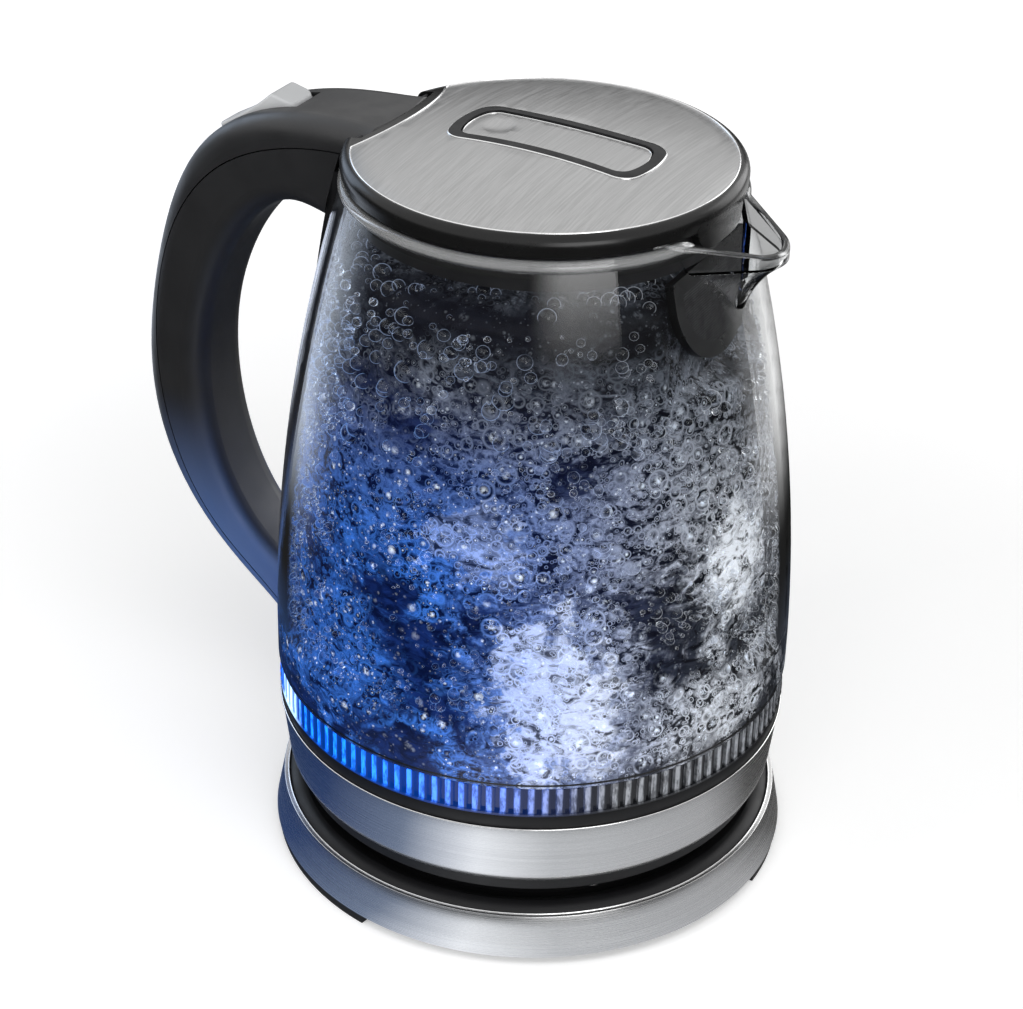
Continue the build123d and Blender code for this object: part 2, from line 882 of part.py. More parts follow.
nose_barrel = barrel(0)
nose_room = barrel(hinge_gap)
lever_plane = Plane(
    origin=(lever_rear_x, 0, lever_rear_z),
    x_dir=(cos(radians(lever_slope)), 0, sin(radians(lever_slope))),
    z_dir=(0, -1, 0),
)
lever_plan = Plane(origin=lever_plane.origin, x_dir=lever_plane.x_dir, z_dir=lever_plane.y_dir)
nose_low_z = rim_z + rim_bead_r + clear
with BuildPart() as handle_body:
    for x, z, lean, depth, wide, bend_r, cap in handle_sections:
        along = (-cos(radians(lean)), 0, -sin(radians(lean)))
        with BuildSketch(Plane(origin=(x, 0, z), x_dir=(0, 1, 0), z_dir=along)):
            RectangleRounded(wide, depth, bend_r)
    loft()
    # Room for the jug, its mounts and the lid
    with BuildSketch(Plane.XZ):
        with BuildLine():
            shy = jug_side(mount_gap + mount_t, 0, nose_low_z)
            Polyline(shy @ 1, (0, nose_low_z), (0, 0), shy @ 0)
        make_face()
    revolve(axis=Axis.Z, mode=Mode.SUBTRACT)
    with BuildSketch(Plane.XY.offset(nose_low_z)):
        with Locations((hinge_x / 2, 0)):
            Rectangle(-hinge_x, 2 * root_wide)
    front = extrude(amount=root_depth, mode=Mode.PRIVATE)
    add(front - nose_barrel, mode=Mode.SUBTRACT)
    # Pocket for the switch lever and its steam control
    with BuildSketch(lever_plane):
        with Locations(((lever_len + lever_nose_gap) / 2, 0)):
            Rectangle(lever_len + lever_nose_gap + hinge_gap, 2 * lever_pocket)
    extrude(amount=lever_half + hinge_gap, both=True, mode=Mode.SUBTRACT)
    with BuildSketch(lever_plane):
        with Locations((lever_pin_u, lever_pin_n)):
            Circle(lever_pin_r)
    extrude(amount=lever_pin_half, both=True, mode=Mode.SUBTRACT)
    cross_pin(hinge_x, hinge_z, hinge_pin_r, root_wide, Mode.SUBTRACT)
    for side in (-1, 1):
        with BuildSketch(Plane.YZ.offset(-band_top_r - sole_depth)):
            with Locations((side * stub_half / 2, (stub_low_z + stub_top_z) / 2)):
                Circle(screw_r)
        extrude(amount=sole_depth + band_top_r, mode=Mode.SUBTRACT)

cap_region = outer_part(0)
shell_keep_out = outer_part(part_gap)
with BuildPart() as handle_cap:
    add(handle_body.part & cap_region)
save(handle_cap, "handle_cap")

with BuildPart() as handle_shell:
    add(handle_body.part - shell_keep_out)
save(handle_shell, "handle_shell")

# Handle mounts: curved plates between the handle and the jug
def jug_plate(low, high):
    """A curved plate hugging the glass outside, all round."""
    with BuildPart() as skin:
        with BuildSketch(Plane.XZ):
            with BuildLine():
                near = jug_side(mount_gap, low, high)
                far = jug_side(mount_gap + mount_t, low, high)
                Line(near @ 0, far @ 0)
                Line(near @ 1, far @ 1)
            make_face()
        revolve(axis=Axis.Z)
    return skin.part


upper_skin = jug_plate(mount_low_z, mount_top_z)
lower_skin = jug_plate(lower_mount_low_z, lower_mount_top_z)
with BuildPart() as upper_mount:
    with BuildSketch(Plane.YZ.offset(-belly_r - mount_t)) as upper_outline:
        with BuildLine():
            Polyline(
                (-mount_half, mount_top_z),
                (mount_half, mount_top_z),
                (mount_tip_half, mount_low_z),
                (-mount_tip_half, mount_low_z),
                close=True,
            )
        make_face()
        fillet(upper_outline.vertices().group_by(Axis.Y)[0], mount_round)
    extrude(amount=belly_r)
    add(upper_skin, mode=Mode.INTERSECT)
save(upper_mount, "upper_mount")

stub_end_x = -band_end_r + moulding
with BuildPart() as lower_mount:
    block(-belly_r - 2 * mount_t, 0, lower_mount_half, lower_mount_low_z, lower_mount_top_z)
    add(lower_skin, mode=Mode.INTERSECT)
    block(-belly_r - mount_gap, stub_end_x, stub_half - clear, stub_low_z + clear, stub_top_z - clear)
    for side in (-1, 1):
        with BuildSketch(Plane.YZ.offset(-band_top_r - sole_depth)):
            with Locations((side * stub_half / 2, (stub_low_z + stub_top_z) / 2)):
                Circle(screw_r)
        extrude(amount=sole_depth + band_top_r, mode=Mode.SUBTRACT)
save(lower_mount, "lower_mount")

with BuildPart() as handle_screws:
    for side in (-1, 1):
        with BuildSketch(Plane.YZ.offset(stub_end_x)):
            with Locations((side * stub_half / 2, (stub_low_z + stub_top_z) / 2)):
                Circle(screw_head_r)
        extrude(amount=screw_head_h)
        with BuildSketch(Plane.YZ.offset(stub_end_x)):
            with Locations((side * stub_half / 2, (stub_low_z + stub_top_z) / 2)):
                Circle(screw_r)
        extrude(amount=-2 * screw_len)
save(handle_screws, "handle_screws")

# Switch lever on the handle with its pin and the steam control below
def over_lever_base(edge):
    """True for an edge that lies wholly over the lever's base line."""
    return min(lever_plane.to_local_coords(end).Y for end in (edge @ 0, edge @ 1)) > 0


with BuildPart() as switch_lever:
    with BuildSketch(lever_plane) as side_view:
        with BuildLine():
            rise = TangentArc(
                (0, lever_edge), (lever_crest_u, lever_crest), tangent=(1, 0)
            )
            Polyline(
                rise @ 1,
                (lever_len, lever_front),
                (lever_len, -lever_depth),
                (0, -lever_depth),
                rise @ 0,
            )
        make_face()
        fillet(side_view.vertices().group_by(Axis.Y)[-1], moulding)
    extrude(amount=lever_half, both=True)
    with BuildSketch(lever_plan):
        with Locations((lever_len / 2, 0)):
            RectangleRounded(lever_len, 2 * lever_half, lever_round)
    extrude(amount=lever_pocket, both=True, mode=Mode.INTERSECT)
    lever_rim = switch_lever.edges().filter_by(Axis.Y, reverse=True)
    fillet(lever_rim.filter_by(over_lever_base), lever_soft)
    with BuildSketch(lever_plane):
        with Locations((lever_pin_u, lever_pin_n)):
            Circle(lever_pin_r + run_fit)
    extrude(amount=lever_half, both=True, mode=Mode.SUBTRACT)
save(switch_lever, "switch_lever")

with BuildPart() as switch_pin:
    with BuildSketch(lever_plane):
        with Locations((lever_pin_u, lever_pin_n)):
            Circle(lever_pin_r)
    extrude(amount=lever_pin_half, both=True)
save(switch_pin, "switch_pin")

# Lid: steel plate
notch_r = (notch_half**2 + notch_sag**2) / (2 * notch_sag)


def press_outline(inset):
    """Outline of the press strip's slot, waisted sides and bowed ends, moved in by a distance."""
    half_len = slot_len / 2 - inset
    half_wide = slot_wide / 2 - inset
    end = half_len - slot_bulge
    with BuildSketch() as outline:
        with BuildLine():
            ThreePointArc((-end, -half_wide), (0, slot_waist - half_wide), (end, -half_wide))
            ThreePointArc((end, -half_wide), (half_len, 0), (end, half_wide))
            ThreePointArc((end, half_wide), (0, half_wide - slot_waist), (-end, half_wide))
            ThreePointArc((-end, half_wide), (-half_len, 0), (-end, -half_wide))
        make_face()
        fillet(outline.vertices(), slot_corner - inset / 2)
    return Pos(slot_x, 0, 0) * outline.sketch


def dome_skin(r, top, low):
    """A domed layer under the lid's top surface, between two drops."""
    with BuildPart() as skin:
        with BuildSketch(Plane.XZ):
            with BuildLine():
                over = dome(r, top)
                under = dome(r, low)
                Line(over @ 0, under @ 0)
                Line(over @ 1, under @ 1)
            make_face()
        revolve(axis=Axis.Z)
    return skin.part


with BuildPart() as notch_disc:
    with BuildSketch():
        with Locations((notch_x - notch_r, 0)):
            Circle(notch_r)
    extrude(amount=2 * plate_z)
plate_skin = dome_skin(plate_r, 0, sheet)
with BuildPart() as lid_plate:
    add(plate_skin)
    extrude(press_outline(0), amount=2 * plate_z, mode=Mode.SUBTRACT)
    add(notch_disc.part, mode=Mode.SUBTRACT)
save(lid_plate, "lid_plate")

# Lid: black rim with the deck under the plate, the spout tongue and the hinge lugs
with BuildPart() as spout_tongue:
    tube(tongue_r, tongue_r - tongue_t, tongue_z, rim_low_z + moulding)
    with BuildSketch(Plane.YZ) as flap:
        with Locations((0, (tongue_z + plate_z) / 2)):
            Rectangle(2 * tongue_half, plate_z - tongue_z)
        fillet(flap.vertices().group_by(Axis.Y)[0], tongue_round)
    extrude(amount=2 * rim_r, mode=Mode.INTERSECT)
with BuildPart() as nose_gap_block:
    block(-2 * rim_r, hinge_x, nose_half + hinge_gap, rim_z, 2 * rim_z)
edge_r = plate_r + run_fit
notch_fill = dome_skin(edge_r, 0, sheet) & notch_disc.part
with BuildPart() as lid_rim:
    with BuildSketch(Plane.XZ):
        with BuildLine():
            deck = dome(edge_r, sheet)
            under = dome(rim_r - rim_wide, sheet + moulding)
            round_edge = ThreePointArc(
                (edge_r + rim_edge, plate_z),
                (rim_r - rim_edge, plate_z - rim_edge * 2),
                (rim_r, plate_z - rim_wide / 2),
            )
            Polyline(deck @ 1, (edge_r, plate_z), round_edge @ 0)
            Polyline(
                round_edge @ 1,
                (rim_r - clear, rim_low_z),
                (rim_r - rim_wide, rim_low_z),
                under @ 1,
            )
            Line(under @ 0, deck @ 0)
        make_face()
    revolve(axis=Axis.Z)
    add(notch_fill)
    add(spout_tongue.part)
    extrude(press_outline(0), amount=2 * plate_z, mode=Mode.SUBTRACT)
    add(nose_room, mode=Mode.SUBTRACT)
    add(nose_gap_block.part, mode=Mode.SUBTRACT)
    cross_pin(hinge_x, hinge_z, hinge_pin_r + run_fit, hinge_pin_half + clear, Mode.SUBTRACT)
save(lid_rim, "lid_rim")

with BuildPart() as hinge_pin:
    cross_pin(hinge_x, hinge_z, hinge_pin_r, hinge_pin_half)
save(hinge_pin, "hinge_pin")

# Lid: pan under the deck, open towards the nose, with its seal ring
with BuildPart() as lid_pan:
    tube(skirt_r, skirt_r - moulding, skirt_z, rim_low_z)
    tube(skirt_r, 0, skirt_z, skirt_z + moulding)
    block(
        -2 * rim_r,
        hinge_x + nose_mid_r,
        nose_half + hinge_gap,
        rim_z - moulding,
        2 * rim_z,
        Mode.SUBTRACT,
    )
save(lid_pan, "lid_pan")

with BuildPart() as lid_seal:
    tube(seal_r, skirt_r + run_fit, seal_z - seal_h, seal_z)
save(lid_seal, "lid_seal")

# Lid: tray round the press strip, with the strip and its pin
tray_low_z = plate_z - 2 * moulding
strip_pin_z = dome_z(strip_pin_x, strip_pin_drop)
strip_pin_half = slot_wide / 2 - border + moulding
tray_skin = dome_skin(plate_r, -clear, 2 * moulding)
strip_skin = dome_skin(plate_r, strip_sink, strip_sink + strip_t)
tray_outline = press_outline(run_fit)
tray_hollow = press_outline(border)
with BuildPart() as press_tray:
    add(tray_skin)
    extrude(tray_outline, amount=2 * plate_z, mode=Mode.INTERSECT)
    extrude(Pos(0, 0, tray_low_z) * tray_outline, amount=2 * moulding)
    extrude(Pos(0, 0, tray_low_z + moulding) * tray_hollow, amount=plate_z, mode=Mode.SUBTRACT)
    cross_pin(strip_pin_x, strip_pin_z, strip_pin_r, strip_pin_half, Mode.SUBTRACT)
save(press_tray, "press_tray")

with BuildPart() as press_strip:
    add(strip_skin)
    extrude(press_outline(border + strip_gap), amount=2 * plate_z, mode=Mode.INTERSECT)
    with BuildSketch(Plane.XZ) as ear:
        with Locations((strip_pin_x, strip_pin_z)):
            Circle(ear_r)
        with Locations((strip_pin_x, strip_pin_z + ear_r / 2)):
            Rectangle(2 * ear_r, ear_r)
    for side in (-1, 1):
        extrude(Pos(0, side * ear_half, 0) * ear.sketch, amount=ear_t / 2, both=True)
    dimple_ball = (dimple_r**2 + dimple_deep**2) / (2 * dimple_deep)
    with Locations((dimple_x, 0, dome_z(-dimple_x, strip_sink) + dimple_ball - dimple_deep)):
        Sphere(dimple_ball, mode=Mode.SUBTRACT)
    cross_pin(strip_pin_x, strip_pin_z, strip_pin_r + run_fit, slot_wide, Mode.SUBTRACT)
save(press_strip, "press_strip")

with BuildPart() as strip_pin:
    cross_pin(strip_pin_x, strip_pin_z, strip_pin_r, strip_pin_half)
save(strip_pin, "strip_pin")

# Spout filter: shield-shaped frame and its mesh, leaning with the glass
filter_plane = Plane(
    origin=(filter_top_x, 0, filter_top_z),
    x_dir=(0, 1, 0),
    z_dir=(cos(radians(filter_lean)), 0, sin(radians(filter_lean))),
)


def shield(inset):
    """Outline of the filter moved in by a distance, straight above and round below."""
    half = filter_half - inset
    side_low = -filter_rim - filter_side
    with BuildSketch(filter_plane) as outline:
        with BuildLine():
            bottom = (0, inset - filter_h)
            bow = ThreePointArc((-half, side_low), bottom, (half, side_low))
            Polyline(bow @ 1, (half, -inset), (-half, -inset), bow @ 0)
        make_face()
    return outline.sketch


with BuildPart() as filter_frame:
    extrude(shield(0), amount=-filter_t)
    extrude(shield(filter_rim), amount=-filter_t, mode=Mode.SUBTRACT)
save(filter_frame, "filter_frame")

with BuildPart() as filter_mesh:
    extrude(shield(filter_rim), amount=-mesh_t)
save(filter_mesh, "filter_mesh")

# Steam control under the switch lever
with BuildPart() as steam_control:
    with BuildSketch(lever_plane):
        with Locations((lever_pin_u, -lever_pocket + steam_h / 2)):
            Rectangle(lever_len - 2 * moulding, steam_h)
    extrude(amount=lever_half - clear, both=True)
save(steam_control, "steam_control")
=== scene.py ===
import math
import random

import bmesh
import bpy
from mathutils import Matrix, Vector, noise


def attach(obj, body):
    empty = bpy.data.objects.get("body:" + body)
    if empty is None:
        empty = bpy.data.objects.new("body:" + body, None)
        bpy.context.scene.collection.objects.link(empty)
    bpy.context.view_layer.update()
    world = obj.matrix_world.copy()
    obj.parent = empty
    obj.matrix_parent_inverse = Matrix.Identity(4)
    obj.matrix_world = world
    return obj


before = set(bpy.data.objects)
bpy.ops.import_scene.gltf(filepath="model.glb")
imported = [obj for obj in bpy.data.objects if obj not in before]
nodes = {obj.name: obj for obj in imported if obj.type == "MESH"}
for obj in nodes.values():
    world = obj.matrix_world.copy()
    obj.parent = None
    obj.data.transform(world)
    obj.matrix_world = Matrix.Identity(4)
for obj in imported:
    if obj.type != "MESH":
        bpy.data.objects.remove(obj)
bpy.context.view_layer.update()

# The jug's shape, as the solids have it, in metres
BELLY_R = 0.0783
BELLY_Z = 0.068
CURVE_R = 0.529
GLASS = 0.0028
RIM_Z = 0.217
FOOT_R = 0.0732
FOOT_LOW_Z = 0.0662
FOOT_TOP_Z = 0.074
# The filter before the spout, which leans, and the underside of the lid
FILTER_TOP_X = 0.0488
FILTER_TOP_Z = 0.2073
FILTER_LOW_Z = 0.175
FILTER_LEAN = 0.2126
FILTER_GAP = 0.0012
LID_PAN_Z = 0.2085
# The light ring's ribs, and the height where its facets begin
RIBS = 120
FACET_Z = (0.0538, 0.0556)

# Angles about the vertical axis: the side that faces the camera, the side where the ring's blue
# glow is painted on the ring and on what lies near it, and the ring's painted hot spot
FACING = -62
BLUE_SIDE = -150
HOT_SPOT = -131.5


def held(share):
    """A share, held between 0 and 1."""
    return min(1.0, max(0.0, share))


def polar(radius, angle, z):
    return Vector((radius * math.cos(angle), radius * math.sin(angle), z))


def grey(shade):
    return (shade,) * 3


def jug_r(z):
    """Outside of the glass at a height."""
    return BELLY_R - CURVE_R + math.sqrt(CURVE_R**2 - (z - BELLY_Z) ** 2)


def inner_r(z):
    """Inside of the glass, with its thicker foot."""
    share = held((z - FOOT_LOW_Z) / (FOOT_TOP_Z - FOOT_LOW_Z))
    return FOOT_R + (jug_r(z) - GLASS - FOOT_R) * share


def filter_x(z):
    """How far water may reach towards the spout."""
    at_filter = FILTER_TOP_X + (FILTER_TOP_Z - z) * FILTER_LEAN - FILTER_GAP
    return at_filter + max(0.0, FILTER_LOW_Z - z) * 2.0


class Shader:
    """A material's node tree, with short ways to add and link nodes."""

    def __init__(self, name, mat=None):
        self.mat = mat or bpy.data.materials.new(name)
        self.mat.use_nodes = True
        self.tree = self.mat.node_tree
        self.bsdf = self.tree.nodes["Principled BSDF"]
        self.out = self.tree.nodes["Material Output"]

    def node(self, kind, **props):
        n = self.tree.nodes.new(kind)
        for key, value in props.items():
            setattr(n, key, value)
        return n

    def feed(self, socket, value):
        if isinstance(value, bpy.types.NodeSocket):
            self.tree.links.new(value, socket)
        else:
            socket.default_value = value

    def fill(self, node, **values):
        """Feeds a node's inputs by their names, with _ for a space."""
        for key, value in values.items():
            self.feed(node.inputs[key.replace("_", " ")], value)
        return node

    def set(self, **values):
        self.fill(self.bsdf, **values)

    def place(self):
        return self.node("ShaderNodeTexCoord").outputs["Object"]

    def scaled(self, vector, scale):
        n = self.fill(self.node("ShaderNodeMapping"), Vector=vector, Scale=scale)
        return n.outputs["Vector"]

    def noise(self, vector, scale, detail=4.0, rough=0.5, bend=0.0):
        n = self.fill(self.node("ShaderNodeTexNoise"), Vector=vector, Scale=scale)
        self.fill(n, Detail=detail, Roughness=rough, Distortion=bend)
        return n.outputs["Fac"]

    def cells(self, vector, scale):
        n = self.fill(self.node("ShaderNodeTexVoronoi"), Vector=vector, Scale=scale)
        return n.outputs["Distance"]

    def math(self, op, a, b=0.0, clamp=False):
        n = self.node("ShaderNodeMath", operation=op, use_clamp=clamp)
        self.feed(n.inputs[0], a)
        self.feed(n.inputs[1], b)
        return n.outputs[0]

    def times(self, first, *others):
        for other in others:
            first = self.math("MULTIPLY", first, other)
        return first

    def most(self, first, *others):
        for other in others:
            first = self.math("MAXIMUM", first, other)
        return first

    def left(self, share):
        """What a share leaves of 1."""
        return self.math("SUBTRACT", 1.0, share)

    def peak(self, away, steep):
        """1 where a distance is 0, falling to 0."""
        return self.math("SUBTRACT", 1.0, self.times(away, steep), True)

    def squares(self, a, b):
        return self.math("ADD", self.math("POWER", a, 2.0), self.math("POWER", b, 2.0))

    def away(self, x, y):
        """Distance from the vertical axis."""
        return self.math("SQRT", self.squares(x, y))

    def span(self, value, low, high, to_low=0.0, to_high=1.0, smooth=True):
        kind = "SMOOTHSTEP" if smooth else "LINEAR"
        n = self.node("ShaderNodeMapRange", interpolation_type=kind)
        self.fill(n, Value=value, From_Min=low, From_Max=high, To_Min=to_low, To_Max=to_high)
        return n.outputs["Result"]

    def ramp(self, value, *stops):
        n = self.fill(self.node("ShaderNodeValToRGB"), Fac=value)
        items = n.color_ramp.elements
        while len(items) < len(stops):
            items.new(0.5)
        for item, (at, colour) in zip(items, stops):
            item.position = at
            item.color = (*colour, 1)
        return n.outputs["Color"]

    def mix(self, share, a, b):
        n = self.node("ShaderNodeMix", data_type="RGBA")
        self.feed(n.inputs[0], share)
        for socket, value in ((n.inputs[6], a), (n.inputs[7], b)):
            self.feed(socket, value if isinstance(value, bpy.types.NodeSocket) else (*value, 1))
        return n.outputs[2]

    def bump(self, height, strength, distance):
        n = self.fill(self.node("ShaderNodeBump"), Strength=strength, Distance=distance)
        self.feed(n.inputs["Height"], height)
        self.set(Normal=n.outputs["Normal"])

    def axes(self, vector):
        n = self.node("ShaderNodeSeparateXYZ")
        self.feed(n.inputs[0], vector)
        return n.outputs

    def along(self, vector, angle):
        """Distance along a level direction, by its angle about the vertical axis."""
        n = self.node("ShaderNodeVectorMath", operation="DOT_PRODUCT")
        self.feed(n.inputs[0], vector)
        self.feed(n.inputs[1], polar(1, math.radians(angle), 0))
        return n.outputs["Value"]

    def turn(self, vector):
        """Angle about the vertical axis in degrees, 0 on the facing side."""
        ahead, across = self.along(vector, FACING), self.along(vector, FACING + 90)
        return self.times(self.math("ARCTAN2", across, ahead), 180 / math.pi)

    def around(self, vector, fine, coarse):
        """Coordinates for a grain that runs round the vertical axis."""
        x, y, z = self.axes(vector)
        n = self.node("ShaderNodeCombineXYZ")
        self.feed(n.inputs[0], self.times(self.math("ARCTAN2", y, x), coarse))
        self.feed(n.inputs[1], self.times(z, fine))
        self.feed(n.inputs[2], self.times(self.away(x, y), fine))
        return n.outputs[0]


# Finishes. Heights and depths are in metres, and a pair is where a change begins and ends.
PLASTIC_GRAIN = 0.00004
METAL_GRAIN = 0.00003
# Where the lit ring's blue glow, painted on the handle, fades out with height, and its colour
PAINTED_GLOW_Z = (0.064, 0.125)
PAINTED_GLOW_BLUE = (0.06, 0.13, 0.34)
# The ring's blue glow as painted on the steel: a painted reflection
STEEL_GLOW_BLUE = (0.12, 0.2, 0.42)
# Where the jug's lip is painted paler as a highlight, and how clear the glass stays there
LIP_HIGHLIGHT_Z = (RIM_Z - 0.0008, RIM_Z + 0.0002)
LIP_HIGHLIGHT_CLEAR = 0.82


def plastic(name, dark, light, rough, grain=2600, lift=0.25, blue=0.0, coat=0.0, sheen=0.3):
    """Moulded plastic, faintly clouded and grained, if asked with a painted glow: the lit ring's
    blue, painted low down on the faces that look sideways.
    """
    s = Shader(name)
    here = s.place()
    colour = s.mix(s.noise(here, 38, 5), dark, light)
    if blue:
        # Painted reflection of the ring's blue glow, low down on the faces that look sideways
        low = s.span(s.axes(here)[2], *PAINTED_GLOW_Z, 1.0, 0.0)
        normal = s.node("ShaderNodeNewGeometry").outputs["Normal"]
        sideways = s.math("ABSOLUTE", s.axes(normal)[1])
        cast = s.times(low, s.span(sideways, 0.25, 0.8, 0.12, 1.0), blue)
        colour = s.mix(cast, colour, PAINTED_GLOW_BLUE)
    s.set(Base_Color=colour, IOR=1.48, Specular_IOR_Level=sheen)
    if coat:
        s.set(Coat_Weight=coat, Coat_Roughness=0.12)
    s.set(Roughness=s.span(s.noise(here, 110, 6), 0.3, 0.7, rough - 0.05, rough + 0.06))
    s.bump(s.noise(here, grain, 2), lift, PLASTIC_GRAIN)
    return s.mat


def brushed_round(name, shade, rough, cast):
    """Brushed steel with the grain round the axis, and the lit ring's blue glow painted on one side
    as a reflection.
    """
    s = Shader(name)
    here = s.place()
    lines = s.noise(s.around(here, 3000, 1.1), 1.0, 4, 0.7)
    broad = s.noise(s.around(here, 900, 0.8), 1.0, 3)
    tone = s.mix(s.span(lines, 0.3, 0.7), grey(shade * 0.86), grey(shade * 1.12))
    tone = s.mix(s.times(broad, 0.5), tone, grey(shade * 0.9))
    # Painted reflection of the ring's blue glow, on the side towards it
    side = s.span(s.along(here, BLUE_SIDE), -0.02, 0.075)
    s.set(Base_Color=s.mix(s.times(side, cast), tone, STEEL_GLOW_BLUE))
    s.set(Metallic=1.0, Anisotropic=0.55, Anisotropic_Rotation=0.25)
    s.set(Tangent=s.node("ShaderNodeTangent", direction_type="RADIAL", axis="Z").outputs[0])
    s.set(Roughness=s.span(lines, 0.25, 0.75, rough - 0.05, rough + 0.07))
    s.bump(lines, 0.16, METAL_GRAIN)
    return s.mat


def brushed_straight(name, shade, rough):
    """Brushed steel with the grain across the lid."""
    s = Shader(name)
    here = s.place()
    fine = s.noise(s.scaled(here, (2000, 26, 400)), 1.0, 5, 0.75)
    broad = s.noise(s.scaled(here, (700, 18, 300)), 1.0, 2)
    tone = s.mix(s.span(fine, 0.28, 0.72), grey(shade * 0.76), grey(shade * 1.18))
    tone = s.mix(s.times(broad, 0.5), tone, grey(shade * 0.93))
    s.set(Base_Color=tone, Metallic=1.0)
    s.set(Roughness=s.span(fine, 0.25, 0.75, rough - 0.06, rough + 0.08))
    s.bump(fine, 0.2, METAL_GRAIN)
    return s.mat


def metal(name, colour, rough, scale=240):
    """Plain metal, faintly stained."""
    s = Shader(name)
    here = s.place()
    stain = s.noise(here, scale, 6, 0.6)
    dull, clean = [c * 0.8 for c in colour], [min(1, c * 1.12) for c in colour]
    s.set(Base_Color=s.mix(stain, dull, clean), Metallic=1.0)
    s.set(Roughness=s.span(stain, 0.3, 0.7, rough - 0.06, rough + 0.08))
    s.bump(s.noise(here, scale * 8, 3), 0.15, METAL_GRAIN)
    return s.mat


def glass_shader(name, colour, ior, ripple):
    """Clear glass, less clear at the jug's lip as a painted highlight, that lets lamps through to
    what is behind it.
    """
    s = Shader(name)
    here = s.place()
    s.set(Base_Color=(*colour, 1), Roughness=0.0, IOR=ior)
    # A painted highlight: the lip lets less through, so it reads pale
    s.set(Transmission_Weight=s.span(s.axes(here)[2], *LIP_HIGHLIGHT_Z, 1.0, LIP_HIGHLIGHT_CLEAR))
    s.bump(s.noise(here, 60, 2), ripple, 0.0004)
    path = s.node("ShaderNodeLightPath")
    both = s.node("ShaderNodeMixShader")
    s.feed(both.inputs[0], path.outputs["Is Shadow Ray"])
    s.feed(both.inputs[1], s.bsdf.outputs[0])
    s.feed(both.inputs[2], s.node("ShaderNodeBsdfTransparent").outputs[0])
    s.feed(s.out.inputs["Surface"], both.outputs[0])
    return s.mat


def bubble_shader(name):
    """A clear bubble whose edge glows as a painted highlight, pale, with the ring's blue glow
    painted on one side of the jug.
    """
    s = Shader(name, glass_shader(name, (0.96, 0.975, 1.0), 1.4, 0.02))
    weight = s.fill(s.node("ShaderNodeLayerWeight"), Blend=0.5)
    rim_glow = s.span(weight.outputs["Facing"], 0.5, 0.92)
    here = s.place()
    height = s.axes(here)[2]
    # The ring's blue glow painted on one side, fading higher up
    side = s.span(s.along(here, BLUE_SIDE), -0.046, 0.042)
    side = s.times(side, s.span(height, 0.16, 0.2, 1.0, 0.4))
    s.set(Emission_Color=s.mix(side, (0.6, 0.63, 0.68), (0.2, 0.42, 0.95)))
    # Painted glow at the edge, dimmer higher up
    s.set(Emission_Strength=s.times(rim_glow, s.span(height, 0.13, 0.19, 0.75, 0.6)))
    return s.mat


def light_ring_shader(name):
    """Ribbed clear ring with painted light: a painted blue glow and hot spot on the handle's side,
    dark as if unlit on the spout's side, and painted glints on the rib facets.
    """
    s = Shader(name)
    here = s.place()
    # The side where the blue glow is painted
    lit = s.span(s.along(here, BLUE_SIDE), -0.025, 0.06)
    hot = s.span(s.along(here, HOT_SPOT), 0.0768, 0.078)
    speck = s.noise(s.around(here, 240, 60), 1.0, 3, 0.7)
    rib = s.math("SINE", s.times(s.turn(here), RIBS * math.pi / 180))
    # Painted glints on the rib facets
    facet_glint = s.times(s.span(rib, -0.3, 0.8), s.span(speck, 0.35, 0.62, 0.25, 1.0))
    facet_glint = s.times(facet_glint, s.span(s.axes(here)[2], *FACET_Z))
    unlit_tone = s.mix(facet_glint, (0.01, 0.011, 0.014), (0.4, 0.42, 0.46))
    blue = s.mix(facet_glint, (0.0, 0.006, 0.06), (0.01, 0.2, 1.0))
    s.set(Base_Color=s.mix(lit, unlit_tone, blue), Roughness=0.12, IOR=1.49, Transmission_Weight=0.15)
    # Painted glow on the handle's side, stronger on the glints, and the painted hot spot
    power = s.times(s.math("ADD", facet_glint, 0.12), lit, 2.0)
    s.set(Emission_Color=s.mix(hot, (0.005, 0.15, 1.0), (0.5, 0.76, 1.0)))
    s.set(Emission_Strength=s.math("ADD", power, s.times(hot, 1.2)))
    s.bump(speck, 0.25, 0.0003)
    return s.mat


def lamp_shader(name):
    """The lamps under the ring."""
    s = Shader(name)
    spot = s.noise(s.place(), 900, 2)
    s.set(Base_Color=s.mix(spot, (0.5, 0.6, 0.8), (0.8, 0.9, 1.0)), Roughness=0.3)
    s.set(Emission_Color=s.mix(spot, (0.02, 0.2, 1.0), (0.2, 0.5, 1.0)), Emission_Strength=2.0)
    return s.mat


def mesh_shader(name):
    """Woven filter cloth: a fine square weave."""
    s = Shader(name)
    here = s.place()
    threads = [s.math("SINE", s.times(axis, 9000.0)) for axis in s.axes(here)[1:]]
    weave = s.most(*threads)
    s.set(Base_Color=s.mix(s.span(weave, 0.0, 0.9), (0.002, 0.002, 0.0025), (0.016, 0.016, 0.018)))
    s.set(Roughness=s.span(s.noise(here, 300, 3), 0.3, 0.7, 0.45, 0.6), Specular_IOR_Level=0.2)
    s.bump(weave, 0.6, 0.0001)
    return s.mat


